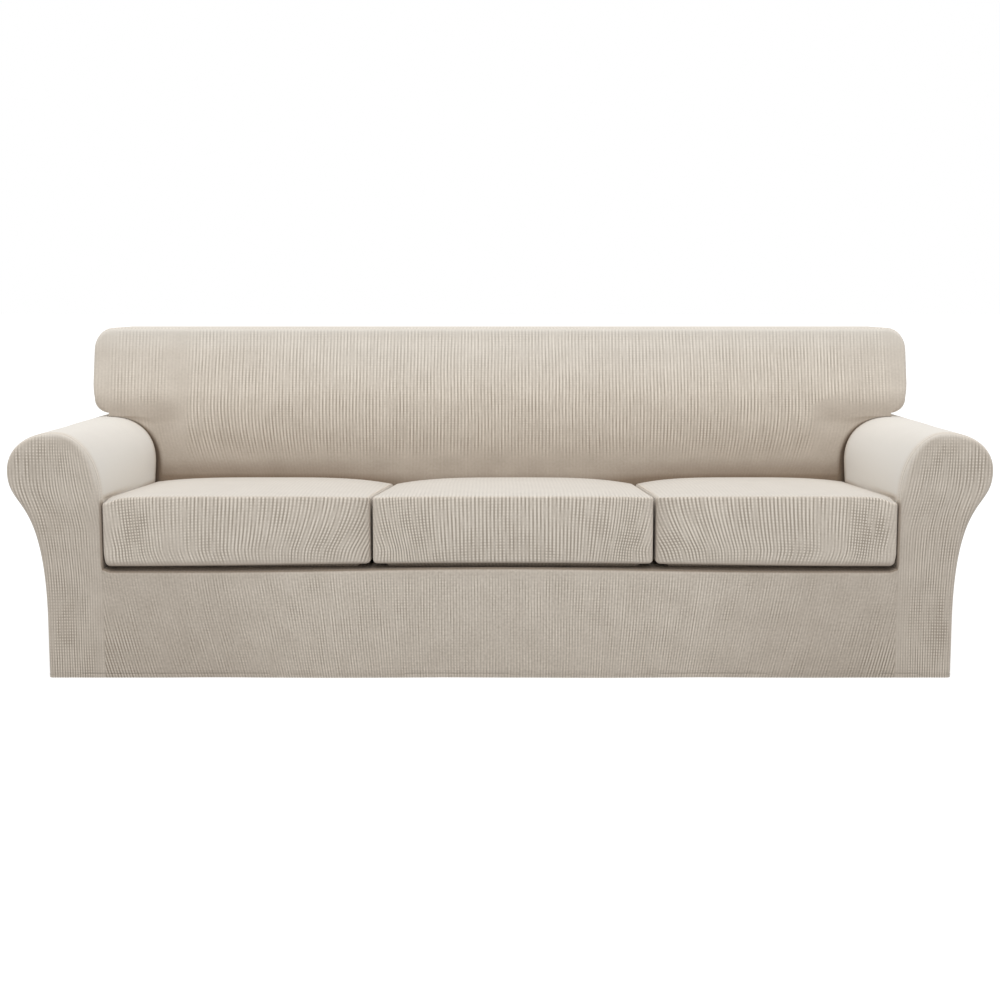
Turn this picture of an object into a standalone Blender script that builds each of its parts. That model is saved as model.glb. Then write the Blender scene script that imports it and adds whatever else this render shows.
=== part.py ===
"""Fitted slipcover for a three-seat sofa with rolled arms: a base cover and three seat cushion covers.

Metres, +Z up, the front towards -Y, the origin on the floor under the middle of the cover.
Left and right are the viewer's, looking at the front.

Each garment is first laid out as one skin, the face of the cloth, from outlines that its panels share.
Each panel is then cut out of the skin and thickened inwards, with a hairline gap left at every seam, so
the panels meet along their seams as sewn cloth does.
"""
import math
from collections import namedtuple

import bmesh
import bpy
from mathutils import Vector

# Cloth
CLOTH = 0.0025          # thickness of the stretch knit
SEAM_GAP = 0.00046      # hairline left between two panels at a flat seam
ROUND = 0.012           # radius of the taut cloth over an edge
SEAM_IN = ROUND * (1 - math.sqrt(0.5))      # how far a seam at 45 degrees on that radius is set in
MERGE = 0.00001         # points of neighbouring panels closer than this are one point of the skin
SHARPEST_TURN = 0.4     # least cosine by which a line's inset is lengthened at a corner

# Base cover, depth and heights
FRONT = -0.446          # face of the skirt and of the arm fronts
REAR_HEM = 0.405        # rear panel at the floor
REAR_TOP = 0.450        # rear panel at the top of the back
DECK = 0.280            # height of the deck under the seat cushions
TOP = 0.874             # top of the back
BACK_FACE = 0.0750      # y of the inside back's face at the height BACK_FACE_Z
BACK_FACE_Z = 0.460
BACK_SLOPE = 0.270      # how far the face leans back for each metre of height
BACK_CROWN = 0.012      # fullness of the inside back in its middle
BACK_CROWN_EDGE = 4     # power of its fall to the sides
BACK_CROWN_RISE = 0.8   # and of its fall to the seat and to the top

# Arms: the outer side rises straight, flares out under the roll and turns over it in two quarter ellipses
ARM_HEM_X = 1.1470      # half width at the hem
ARM_STRAIGHT = 0.130    # height to which the outer side is straight
ARM_WIDEST_X = 1.2375   # half width at the roll's widest point
ARM_WIDEST_Z = 0.526
FLARE_PULL = (0.430, 0.455)     # heights of the flare's two handles
ARM_TOP_X = 1.114       # crest of the roll
ARM_TOP = 0.6245
ARM_INNER_Z_FRONT = 0.460   # height at which the roll's inner side becomes upright, at the front
ARM_INNER_Z_REAR = 0.490    # and at the inside back
ROLL_IN_FRONT = 0.111   # from the crest in to the seat side, at the front
ROLL_IN_REAR = 0.139    # and at the rear of the seat

# Back: its rounded ears reach out over the arms
EAR_Z = 0.635           # underside of the ears
EAR_X = 1.165           # half width of the back above the arms
EAR_CORNER = (0.046, 0.045)     # half axes of an ear's lower corner
TOP_CORNER = (0.060, 0.071)     # half axes of its upper corner

# Numbers of steps along the outlines
STRAIGHT_STEPS = 2
FLARE_STEPS = 7
ROLL_OUT_STEPS = 5
ROLL_IN_STEPS = 6
EAR_STEPS = 3
ACROSS = 16             # steps across the seat and the back
ARM_DEPTH_STEPS = 5     # along the arm, from the front to the back's face
EAR_DEPTH_STEPS = 3     # and from there to the rear
FRONT_FIELD_STEPS = 4   # across an arm front
SKIRT_HEIGHTS = (0.210, 0.140, 0.070, 0.0)
SEAT_SIDE_HEIGHTS = (0.400, 0.340, DECK)
ARM_INNER_POINTS = ROLL_IN_STEPS + len(SEAT_SIDE_HEIGHTS)

# Soft folds of the skirt: where each runs, how wide and how deep it is at the hem
FOLD_EDGE = 8           # power of the folds' fall to the arm fronts' seams
Fold = namedtuple("Fold", "x width depth")
SKIRT_FOLDS = (
    Fold(-0.72, 0.10, 0.0030),
    Fold(-0.41, 0.13, -0.0026),
    Fold(-0.13, 0.09, 0.0022),
    Fold(0.24, 0.12, -0.0028),
    Fold(0.53, 0.09, 0.0030),
    Fold(0.80, 0.08, -0.0020),
)

# Seat cushion covers. Each side is a line from x at the front to x at the rear of the seat. The heights
# are those of the top's side edges at the front and at the rear.
Side = namedtuple("Side", "x_front x_rear z_front z_rear")
Cushion = namedtuple("Cushion", "name left right")
ARM_CLEAR = 0.0008      # between a cushion cover and an arm
SEAT_X_FRONT = ARM_TOP_X - ROLL_IN_FRONT
SEAT_X_REAR = ARM_TOP_X - ROLL_IN_REAR
CUSHIONS = (
    Cushion("left",
            Side(-SEAT_X_FRONT + ARM_CLEAR, -SEAT_X_REAR + ARM_CLEAR, 0.455, 0.447),
            Side(-0.3240, -0.3015, 0.461, 0.441)),
    Cushion("middle",
            Side(-0.3190, -0.2965, 0.461, 0.441),
            Side(0.3870, 0.3775, 0.461, 0.441)),
    Cushion("right",
            Side(0.3915, 0.3820, 0.461, 0.441),
            Side(SEAT_X_FRONT - ARM_CLEAR, SEAT_X_REAR - ARM_CLEAR, 0.455, 0.447)),
)
CUSHION_BASE = DECK + 0.0004    # the turned-under hem lies on the deck
CUSHION_TOP = 0.466             # height of the crown at the front
CUSHION_RISE = 0.006            # how much higher the crown is half way back
CUSHION_DROP = 0.008            # how much lower it is at the rear
CUSHION_CROWN_POWER = 3.5       # a flat crown with quick shoulders
CUSHION_CORNER = 0.026          # radius of the cover's corners in plan
CORNER_LOSS = 0.6               # how much of an inset the corners' radius loses
CORNER_LEAST = 0.006            # and its least value
CUSHION_BULGE = 0.004           # fullness of the front face
CUSHION_BULGE_EDGE = 6          # power of its fall to the corners
CUSHION_REAR_GAP = 0.0012       # from the cover to the inside back
CUSHION_HEM = 0.050             # width of the hem turned under
CUSHION_ALONG = 7               # steps along the front and the rear, between the corners
CUSHION_DEEP = 5                # steps along the sides

# The boxing's section from the turned-under hem to the top seam: how far in from the face, and the
# height, in shares of the boxing's height
Ring = namedtuple("Ring", "inset rise bulge")
BAND_RINGS = (
    Ring(CUSHION_HEM, 0.000, 0.0),
    Ring(0.0180, 0.000, 0.0),
    Ring(0.0050, 0.035, 0.0),
    Ring(0.0, 0.110, 0.35),
    Ring(0.0, 0.400, 1.0),
    Ring(0.0, 0.680, 1.0),
    Ring(0.0, 0.890, 0.35),
    Ring(0.0050, 0.975, 0.0),
)
TOP_RING = Ring(0.0200, 1.000, 0.0)

# Finish
CLOTH_COLOUR = (0.55, 0.49, 0.42)
CLOTH_ROUGHNESS = 0.92


def mix(a, b, t):
    """The value a share t of the way from a to b."""
    return a + (b - a) * t


def remove_scene_objects():
    for obj in list(bpy.data.objects):
        bpy.data.objects.remove(obj, do_unlink=True)


# ---- lines of the base cover ----

def back_face_y(z):
    """Depth of the inside back's face at a height."""
    return BACK_FACE + BACK_SLOPE * (z - BACK_FACE_Z)


SEAT_REAR = back_face_y(DECK)


def rear_y(z):
    """Depth of the rear panel at a height."""
    return mix(REAR_HEM, REAR_TOP, z / TOP)


def roll_in(y):
    """How far the roll reaches in from its crest at a depth: the arms draw together to the rear."""
    return mix(ROLL_IN_FRONT, ROLL_IN_REAR, (y - FRONT) / (SEAT_REAR - FRONT))


def bezier(points, t):
    """A point on a cubic curve with four control points."""
    weights = ((1 - t) ** 3, 3 * t * (1 - t) ** 2, 3 * t * t * (1 - t), t ** 3)
    return sum(w * p for w, p in zip(weights, points))


def quarter(centre, radii, start, end, steps):
    """Points along an ellipse's arc, without its first point. The angles are in degrees."""
    points = []
    for step in range(1, steps + 1):
        angle = math.radians(mix(start, end, step / steps))
        points.append((centre[0] + radii[0] * math.cos(angle), centre[1] + radii[1] * math.sin(angle)))
    return points


def arm_outer():
    """The arm's outer line, from the hem to the crest of the roll, as (x, z)."""
    line = [(ARM_HEM_X, ARM_STRAIGHT * i / STRAIGHT_STEPS) for i in range(STRAIGHT_STEPS + 1)]
    xs = (ARM_HEM_X, ARM_HEM_X, ARM_WIDEST_X, ARM_WIDEST_X)
    zs = (ARM_STRAIGHT, FLARE_PULL[0], FLARE_PULL[1], ARM_WIDEST_Z)
    for i in range(1, FLARE_STEPS + 1):
        line.append((bezier(xs, i / FLARE_STEPS), bezier(zs, i / FLARE_STEPS)))
    radii = (ARM_WIDEST_X - ARM_TOP_X, ARM_TOP - ARM_WIDEST_Z)
    return line + quarter((ARM_TOP_X, ARM_WIDEST_Z), radii, 0, 90, ROLL_OUT_STEPS)


def arm_inner_shape(upright):
    """The arm's inner line from below the crest to the deck, as (share of the roll's reach, z)."""
    line = quarter((0.0, upright), (1.0, ARM_TOP - upright), 90, 0, ROLL_IN_STEPS)
    return line + [(1.0, z) for z in SEAT_SIDE_HEIGHTS]


def inner_x(share, y):
    """Half width at a point of the arm's inner line, given as a share of the roll's reach."""
    return ARM_TOP_X - share * roll_in(y)


def ear_line():
    """The back's line above the arm's crest, from the riser's top to the end of the upper corner."""
    line = [(ARM_TOP_X, EAR_Z)]
    line += quarter((ARM_TOP_X, EAR_Z + EAR_CORNER[1]), EAR_CORNER, -90, 0, EAR_STEPS)
    low = EAR_Z + EAR_CORNER[1]
    high = TOP - TOP_CORNER[1]
    line += [(EAR_X, mix(low, high, i / EAR_STEPS)) for i in range(1, EAR_STEPS + 1)]
    return line + quarter((EAR_X - TOP_CORNER[0], high), TOP_CORNER, 0, 90, EAR_STEPS)


def shares_across():
    """Columns across the seat and the back, from -1 on the left to 1 on the right."""
    return [2 * i / ACROSS - 1 for i in range(ACROSS + 1)]


def top_line():
    """The top of the back from the upper corner to the middle."""
    half = EAR_X - TOP_CORNER[0]
    return [(-half * share, TOP) for share in shares_across()[1:ACROSS // 2 + 1]]


def inset(line, distances):
    """Moves a line of (x, z) points inwards, to the left of its run, by a distance for each point."""
    moved = []
    for i, (x, z) in enumerate(line):
        normals = []
        for a, b in ((i - 1, i), (i, i + 1)):
            if a < 0 or b >= len(line):
                continue
            run = Vector((line[b][0] - line[a][0], line[b][1] - line[a][1]))
            if run.length > MERGE:
                run.normalize()
                normals.append(Vector((-run.y, run.x)))
        turn = sum(normals, Vector((0.0, 0.0))).normalized()
        reach = distances[i] / max(turn.dot(normals[0]), SHARPEST_TURN)
        moved.append((x + turn.x * reach, z + turn.y * reach))
    return moved


# ---- skins, panels and solids ----

class Skin:
    """The face of one garment as a mesh, with the panel of every face noted."""

    def __init__(self):
        self.mesh = bmesh.new()
        self.layer = self.mesh.faces.layers.int.new("panel")
        self.names = []

    def grid(self, panel, rows):
        """Adds a net of points, row by row, as faces of a panel."""
        if panel not in self.names:
            self.names.append(panel)
        net = [[self.mesh.verts.new(point) for point in row] for row in rows]
        for low, high in zip(net, net[1:]):
            for i in range(len(low) - 1):
                face = self.mesh.faces.new((low[i], low[i + 1], high[i + 1], high[i]))
                face[self.layer] = self.names.index(panel)

    def join(self):
        """Joins the nets at their shared points and turns every face outwards."""
        bmesh.ops.remove_doubles(self.mesh, verts=self.mesh.verts, dist=MERGE)
        bmesh.ops.recalc_face_normals(self.mesh, faces=self.mesh.faces)
        highest = max(self.mesh.faces, key=lambda face: face.calc_center_median().z)
        if highest.normal.z < 0:
            bmesh.ops.reverse_faces(self.mesh, faces=self.mesh.faces)
        self.mesh.normal_update()
        self.mesh.verts.index_update()

    def cut_out(self, panel, node, collection):
        """Makes one panel a closed solid of the cloth's thickness."""
        index = self.names.index(panel)
        faces = [face for face in self.mesh.faces if face[self.layer] == index]
        verts = {vert for face in faces for vert in face.verts}
        solid = bmesh.new()
        outer = {}
        inner = {}
        for vert in sorted(verts, key=lambda v: v.index):
            place = vert.co + self.seam_pull(vert, index)
            inward = vert.normal * vert.calc_shell_factor()
            if vert.co.z < MERGE:
                place.z = 0.0
                inward.z = 0.0
                inward.normalize()
            outer[vert] = solid.verts.new(place)
            inner[vert] = solid.verts.new(place - inward * CLOTH)
        for face in faces:
            solid.faces.new([outer[vert] for vert in face.verts])
            solid.faces.new([inner[vert] for vert in reversed(face.verts)])
            for loop in face.loops:
                if sum(other[self.layer] == index for other in loop.edge.link_faces) == 1:
                    a = loop.vert
                    b = loop.link_loop_next.vert
                    solid.faces.new((outer[b], outer[a], inner[a], inner[b]))
        bmesh.ops.triangulate(solid, faces=solid.faces)
        return add_object(node, solid, collection)

    def seam_pull(self, vert, index):
        """How far a point on a panel's seam is drawn back into the panel, in the panel's own plane."""
        ways = []
        for edge in vert.link_edges:
            own = [face for face in edge.link_faces if face[self.layer] == index]
            if len(own) != 1 or len(edge.link_faces) != 2:
                continue
            along = (edge.verts[1].co - edge.verts[0].co).normalized()
            way = own[0].normal.cross(along).normalized()
            middle = (edge.verts[0].co + edge.verts[1].co) / 2
            if way.dot(own[0].calc_center_median() - middle) < 0:
                way.negate()
            ways.append(way)
        if not ways:
            return Vector((0.0, 0.0, 0.0))
        bisector = sum(ways, Vector((0.0, 0.0, 0.0))).normalized()
        return bisector * (SEAM_GAP / 2) / max(bisector.dot(ways[0]), SHARPEST_TURN)


def add_object(name, mesh, collection):
    """Links a mesh to the collection as a named object with the cloth's material."""
    data = bpy.data.meshes.new(name)
    mesh.to_mesh(data)
    mesh.free()
    data.shade_smooth()
    data.set_sharp_from_angle(angle=math.radians(50))
    data.materials.append(cloth_material(name))
    obj = bpy.data.objects.new(name, data)
    collection.objects.link(obj)
    return obj


def cloth_material(name):
    material = bpy.data.materials.new(name + "_cloth")
    material.use_nodes = True
    shader = material.node_tree.nodes["Principled BSDF"]
    shader.inputs["Base Color"].default_value = (*CLOTH_COLOUR, 1.0)
    shader.inputs["Roughness"].default_value = CLOTH_ROUGHNESS
    shader.inputs["Metallic"].default_value = 0.0
    material.diffuse_color = (*CLOTH_COLOUR, 1.0)
    return material


def mirrored(rows):
    return [[(-x, y, z) for x, y, z in row] for row in rows]


# ---- panels of the base cover ----

def arm_wrap_nets():
    """The right arm's wrap: the whole profile up to the back's face, and its outer part on to the rear."""
    outer = arm_outer()
    break_y = back_face_y(ARM_TOP)
    profile = front_profile()
    seam_line = inset(profile, [SEAM_IN] * len(profile))
    starts = [(x, FRONT + ROUND, z) for x, z in outer]
    starts += [(inner_x(share, FRONT + ROUND), FRONT + ROUND, z)
               for share, z in arm_inner_shape(ARM_INNER_Z_FRONT)]
    ends = [(x, break_y, z) for x, z in outer]
    ends += [(inner_x(share, back_face_y(z)), back_face_y(z), z)
             for share, z in arm_inner_shape(ARM_INNER_Z_REAR)]
    seams = [(x, FRONT + SEAM_IN, z) for x, z in seam_line[:-1]] + [seat_corner()]
    front_rows = []
    for seam, start, end in zip(seams, starts, ends):
        row = [seam]
        for step in range(ARM_DEPTH_STEPS + 1):
            row.append(tuple(mix(a, b, step / ARM_DEPTH_STEPS) for a, b in zip(start, end)))
        front_rows.append(row)
    rear_line = rear_outline()
    rear_seam = inset(rear_line, [SEAM_IN] * len(rear_line))
    rear_rows = []
    for i, (x, z) in enumerate(outer):
        ring_y = rear_y(z) - ROUND
        row = [(x, mix(break_y, ring_y, step / EAR_DEPTH_STEPS), z) for step in range(EAR_DEPTH_STEPS + 1)]
        row.append((rear_seam[i][0], rear_y(z) - SEAM_IN, rear_seam[i][1]))
        rear_rows.append(row)
    return front_rows, rear_rows


def front_profile():
    """The arm's whole line at the front, from the outer hem over the roll to the deck."""
    return arm_outer() + [(inner_x(share, FRONT), z) for share, z in arm_inner_shape(ARM_INNER_Z_FRONT)]


def seat_corner():
    """The point where the skirt, the deck, an arm front and its wrap meet."""
    return (SEAT_X_FRONT, FRONT + SEAM_IN, DECK - SEAM_IN)


def rear_outline():
    """Right half of the rear panel's outline, from the hem over the arm and the ear to the middle."""
    return arm_outer() + ear_line() + top_line()


def arm_front_nets():
    """The right arm's front: a ruled field inside a rounded rim that follows the scroll."""
    profile = front_profile()
    crest = len(arm_outer()) - 1
    skirt_side = [(SEAT_X_FRONT, DECK - ROUND)] + [(SEAT_X_FRONT, z) for z in SKIRT_HEIGHTS]
    line = profile + skirt_side
    deck_corner = len(profile) - 1
    distances = [SEAM_IN if i < deck_corner else 0.0 for i in range(len(line))]
    seam_line = inset(line, distances)
    ring_line = inset(line, [ROUND] * len(line))
    seam = [(x, FRONT + SEAM_IN if i < deck_corner else FRONT, z) for i, (x, z) in enumerate(seam_line)]
    seam[deck_corner] = seat_corner()
    ring = [(x, FRONT, z) for x, z in ring_line]
    field = []
    for i in range(crest + 1):
        start = ring[i]
        end = ring[len(line) - 1 - i]
        field.append([tuple(mix(a, b, step / FRONT_FIELD_STEPS) for a, b in zip(start, end))
                      for step in range(FRONT_FIELD_STEPS + 1)])
    return field, [seam, ring]


def seat_deck_net():
    """The deck from the skirt's seam back to the inside back."""
    rows = [seat_edge_row()]
    for step in range(ARM_DEPTH_STEPS + 1):
        y = mix(FRONT + ROUND, SEAT_REAR, step / ARM_DEPTH_STEPS)
        rows.append([(inner_x(1.0, y) * share, y, DECK) for share in shares_across()])
    return rows


def seat_edge_row():
    """The seam between the deck and the skirt."""
    x, y, z = seat_corner()
    return [(x * share, y, z) for share in shares_across()]


def skirt_net():
    """The front drop, with its soft folds growing towards the hem."""
    rows = [seat_edge_row()]
    for z in (DECK - ROUND,) + SKIRT_HEIGHTS:
        hang = 1 - z / (DECK - ROUND)
        rows.append([(SEAT_X_FRONT * share, FRONT + skirt_fold(SEAT_X_FRONT * share) * hang, z)
                     for share in shares_across()])
    return rows


def skirt_fold(x):
    """Depth of the skirt's soft folds at x, at the hem. It is nothing at the arm fronts' seams."""
    ease = 1 - (x / SEAT_X_FRONT) ** FOLD_EDGE
    return ease * sum(fold.depth * math.exp(-((x - fold.x) / fold.width) ** 2) for fold in SKIRT_FOLDS)


def back_crown(share, z):
    """Fullness of the inside back's face above the upright of the arms' inner sides."""
    rise = (z - ARM_INNER_Z_REAR) / (TOP - ARM_INNER_Z_REAR)
    if rise <= 0 or rise >= 1:
        return 0.0
    across = 1 - share ** BACK_CROWN_EDGE
    return BACK_CROWN * across * math.sin(math.pi * rise) ** BACK_CROWN_RISE


def inside_outline():
    """Right half of the inside back's outline, from the deck up the arm and round the ear, as (x, z)."""
    shape = arm_inner_shape(ARM_INNER_Z_REAR)
    arm = [(inner_x(share, back_face_y(z)), z) for share, z in reversed(shape)]
    return arm + [(ARM_TOP_X, ARM_TOP)] + ear_line() + top_line()


def inside_rounding():
    """Radius of the edge at each point of that outline: none along the arm, growing up the riser."""
    rest = len(ear_line()) + len(top_line()) - 1
    return [0.0] * (ARM_INNER_POINTS + 1) + [ROUND / 2] + [ROUND] * rest


def panel_rows(outline, seam, ring, last, depth, seam_depth, crown):
    """Rows across a back panel, from its lower edge to its top seam."""
    rows = []
    for i in range(last + 1):
        x, z = ring[i]
        middle = [(x * share, depth(z) - crown(share, z), z) for share in shares_across()]
        sx, sz = seam[i]
        sy = seam_depth(outline[i][1], i)
        rows.append([(-sx, sy, sz)] + middle + [(sx, sy, sz)])
    top_depth = seam_depth(outline[last][1], last)
    right = [(x, top_depth, z) for x, z in reversed(seam[last:])]
    edge = mirrored([right])[0][:0:-1] + right
    rows.append([edge[0]] + edge + [edge[-1]])
    return rows


def inside_back_net():
    outline = inside_outline()
    rounding = inside_rounding()
    seam = inset(outline, [SEAM_IN / ROUND * radius for radius in rounding])
    ring = inset(outline, rounding)
    last = len(outline) - 1 - len(top_line())

    def seam_depth(z, i):
        return back_face_y(z) + SEAM_IN / ROUND * rounding[i]

    return panel_rows(outline, seam, ring, last, back_face_y, seam_depth, back_crown)


def outside_back_net():
    outline = rear_outline()
    seam = inset(outline, [SEAM_IN] * len(outline))
    ring = inset(outline, [ROUND] * len(outline))
    last = len(outline) - 1 - len(top_line())

    def seam_depth(z, i):
        return rear_y(z) - SEAM_IN

    def no_crown(share, z):
        return 0.0

    return panel_rows(outline, seam, ring, last, rear_y, seam_depth, no_crown)


def back_band_net():
    """The strip from the right arm's crest round the ear, along the top and down to the left arm."""
    inside = inside_outline()
    rounding = inside_rounding()
    inside_seam = inset(inside, [SEAM_IN / ROUND * radius for radius in rounding])
    rear = rear_outline()
    rear_seam = inset(rear, [SEAM_IN] * len(rear))
    first_inside = ARM_INNER_POINTS
    first_rear = len(arm_outer()) - 1
    half = []
    for i in range(len(rear) - first_rear):
        x, z = rear[first_rear + i]
        radius = rounding[first_inside + i]
        ix, iz = inside_seam[first_inside + i]
        start = back_face_y(z) + radius
        end = rear_y(z) - ROUND
        row = [(ix, back_face_y(z) + SEAM_IN / ROUND * radius, iz)]
        row += [(x, mix(start, end, step / EAR_DEPTH_STEPS), z) for step in range(EAR_DEPTH_STEPS + 1)]
        rx, rz = rear_seam[first_rear + i]
        row.append((rx, rear_y(z) - SEAM_IN, rz))
        half.append(row)
    return half + [mirrored([row])[0] for row in reversed(half[:-1])]


def build_base_cover(collection):
    skin = Skin()
    wrap_front, wrap_rear = arm_wrap_nets()
    field, rim = arm_front_nets()
    for side, turn in (("right", list), ("left", mirrored)):
        skin.grid("arm_wrap_" + side, turn(wrap_front))
        skin.grid("arm_wrap_" + side, turn(wrap_rear))
        skin.grid("arm_front_" + side, turn(field))
        skin.grid("arm_front_" + side, turn(rim))
    skin.grid("seat_deck", seat_deck_net())
    skin.grid("front_skirt", skirt_net())
    skin.grid("inside_back", inside_back_net())
    skin.grid("outside_back", outside_back_net())
    skin.grid("back_band", back_band_net())
    skin.join()
    for panel in skin.names:
        skin.cut_out(panel, panel, collection)
    skin.mesh.free()


# ---- seat cushion covers ----

def cushion_stations():
    """Steps round a cushion cover in plan, anticlockwise from the front left corner's middle.

    Each is (u, v, angle): its place along the sides as shares and, round a corner, its angle there in
    degrees.
    """
    corners = ((0, 0, 225), (1, 0, 315), (1, 1, 45), (0, 1, 135))
    steps = (CUSHION_ALONG, CUSHION_DEEP, CUSHION_ALONG, CUSHION_DEEP)
    stations = []
    for i, (u, v, middle) in enumerate(corners):
        next_u, next_v, _ = corners[(i + 1) % len(corners)]
        stations.append((u, v, middle))
        stations.append((u, v, middle + 45))
        for step in range(1, steps[i]):
            stations.append((mix(u, next_u, step / steps[i]), mix(v, next_v, step / steps[i]), None))
        stations.append((next_u, next_v, middle + 45))
    return stations


def side_x(side, y):
    return mix(side.x_front, side.x_rear, (y - FRONT) / (SEAT_REAR - FRONT))


def cushion_plan(cushion, station, gap, z, bulge):
    """A point of the cushion cover's plan, a distance in from its faces, at a height."""
    u, v, angle = station
    front = FRONT + gap
    rear = back_face_y(z) - CUSHION_REAR_GAP - gap
    radius = max(CUSHION_CORNER - CORNER_LOSS * gap, CORNER_LEAST)
    along = radius / (rear - front)
    if angle is None:
        v = v if v in (0, 1) else mix(along, 1 - along, v)
        y = mix(front, rear, v)
        left = side_x(cushion.left, y) + gap
        right = side_x(cushion.right, y) - gap
        across = radius / (right - left)
        u = u if u in (0, 1) else mix(across, 1 - across, u)
        x = mix(left, right, u)
    else:
        out_x = math.cos(math.radians(angle))
        out_y = math.sin(math.radians(angle))
        y = (front + radius if v == 0 else rear - radius) + radius * out_y
        left = side_x(cushion.left, y) + gap
        right = side_x(cushion.right, y) - gap
        x = (left + radius if u == 0 else right - radius) + radius * out_x
    if v == 0:
        y -= CUSHION_BULGE * bulge * (1 - (2 * u - 1) ** CUSHION_BULGE_EDGE)
    return x, y


def cushion_top_z(cushion, u, v):
    """Height of the top at shares across and along the cushion."""
    crown = CUSHION_TOP + CUSHION_RISE * math.sin(math.pi * v) - CUSHION_DROP * v
    side = cushion.left if u < 0.5 else cushion.right
    edge = mix(side.z_front, side.z_rear, v)
    return mix(edge, crown, 1 - abs(2 * u - 1) ** CUSHION_CROWN_POWER)


def ring_point(cushion, station, ring):
    top = cushion_top_z(cushion, station[0], station[1])
    z = mix(CUSHION_BASE, top, ring.rise)
    x, y = cushion_plan(cushion, station, ring.inset, z, ring.bulge)
    return (x, y, z)


def cushion_top_net(cushion, border):
    """The top panel: a net spanned between the four sides of its border, lifted to the crown."""
    across = CUSHION_ALONG + 2
    deep = CUSHION_DEEP + 2
    front = border[0:across + 1]
    right = border[across:across + deep + 1]
    rear = list(reversed(border[across + deep:2 * across + deep + 1]))
    left = list(reversed(border[2 * across + deep:] + border[:1]))
    rows = []
    for j in range(deep + 1):
        row = []
        for i in range(across + 1):
            u = (front[i][0] - front[0][0]) / (front[-1][0] - front[0][0])
            v = (left[j][1] - left[0][1]) / (left[-1][1] - left[0][1])
            point = []
            for k in range(3):
                ruled_v = mix(front[i][k], rear[i][k], v)
                ruled_u = mix(left[j][k], right[j][k], u)
                corners = mix(mix(front[0][k], front[-1][k], u), mix(rear[0][k], rear[-1][k], u), v)
                point.append(ruled_v + ruled_u - corners)
            if 0 < i < across and 0 < j < deep:
                point[2] = cushion_top_z(cushion, u, v)
            row.append(tuple(point))
        rows.append(row)
    return rows


def build_cushion_cover(cushion, collection):
    skin = Skin()
    stations = cushion_stations()
    rings = [[ring_point(cushion, station, ring) for station in stations] for ring in BAND_RINGS]
    skin.grid("band", [ring + ring[:1] for ring in rings])
    shoulder = [ring_point(cushion, station, TOP_RING) for station in stations]
    skin.grid("top", [rings[-1] + rings[-1][:1], shoulder + shoulder[:1]])
    skin.grid("top", cushion_top_net(cushion, shoulder))
    skin.join()
    for panel in skin.names:
        skin.cut_out(panel, "cushion_" + panel + "_" + cushion.name, collection)
    skin.mesh.free()


def main():
    remove_scene_objects()
    collection = bpy.data.collections.new("sofa_slipcover")
    bpy.context.scene.collection.children.link(collection)
    build_base_cover(collection)
    for cushion in CUSHIONS:
        build_cushion_cover(cushion, collection)


main()
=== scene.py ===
"""Looks of a stretch slipcover for a three-seat sofa with rolled arms: base cover and seat cushion covers.

Metres, +Z up, the front towards -Y. Left and right are the viewer's, looking at the front.
"""

import math
from collections import namedtuple

import bmesh
import bpy
import numpy as np
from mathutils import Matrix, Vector


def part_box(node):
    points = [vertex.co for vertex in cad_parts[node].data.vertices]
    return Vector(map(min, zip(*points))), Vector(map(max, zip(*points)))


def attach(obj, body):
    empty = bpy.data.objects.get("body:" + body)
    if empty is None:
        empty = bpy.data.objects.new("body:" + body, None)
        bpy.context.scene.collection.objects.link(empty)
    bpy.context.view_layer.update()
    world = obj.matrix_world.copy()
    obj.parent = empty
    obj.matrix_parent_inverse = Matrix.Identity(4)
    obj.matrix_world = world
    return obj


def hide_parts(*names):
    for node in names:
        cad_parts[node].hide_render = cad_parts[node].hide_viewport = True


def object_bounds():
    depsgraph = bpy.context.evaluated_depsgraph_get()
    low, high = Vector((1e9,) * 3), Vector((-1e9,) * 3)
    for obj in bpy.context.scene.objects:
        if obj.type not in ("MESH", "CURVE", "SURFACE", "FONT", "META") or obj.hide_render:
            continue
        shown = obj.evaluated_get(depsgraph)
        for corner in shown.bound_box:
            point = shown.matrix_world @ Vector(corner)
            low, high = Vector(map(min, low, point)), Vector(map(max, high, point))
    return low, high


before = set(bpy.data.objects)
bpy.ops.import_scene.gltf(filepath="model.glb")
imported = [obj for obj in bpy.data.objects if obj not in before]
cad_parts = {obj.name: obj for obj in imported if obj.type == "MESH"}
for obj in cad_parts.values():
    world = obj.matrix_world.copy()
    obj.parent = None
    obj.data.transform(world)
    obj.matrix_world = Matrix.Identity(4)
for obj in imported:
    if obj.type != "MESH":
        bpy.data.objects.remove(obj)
cad_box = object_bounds()


# ---- The view ----
# Straight at the front from a little above the back, tilted down onto the seat, with a normal lens.
CAMERA_PLACE = (0.0, -4.428, 0.953)
CAMERA_TILT = 7.125         # degrees below the horizon
LENS_MM = 57.6
SENSOR_MM = 36.0

camera_data = bpy.data.cameras.new("camera")
camera_data.lens = LENS_MM
camera_data.sensor_width = SENSOR_MM
camera_data.clip_end = 100
camera = bpy.data.objects.new("camera", camera_data)
camera.location = CAMERA_PLACE
camera.rotation_euler = (math.radians(90 - CAMERA_TILT), 0, 0)
bpy.context.scene.collection.objects.link(camera)
bpy.context.scene.camera = camera


# ---- Inside back ----
# The front face of the back: one panel of ribbed stretch knit from the deck up to the top, with rounded
# ears that reach out over the arms. It is sewn to the arms' wraps, the deck and the band round the top. It
# is pulled taut and tucked deep into the creases beside the arms, where its ribs are dragged inwards.
CLOTH = 0.0020              # thickness of the knit
EDGE = 0.012                # radius of the cloth over an edge
JOIN = 0.00001              # points closer than this are one

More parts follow.
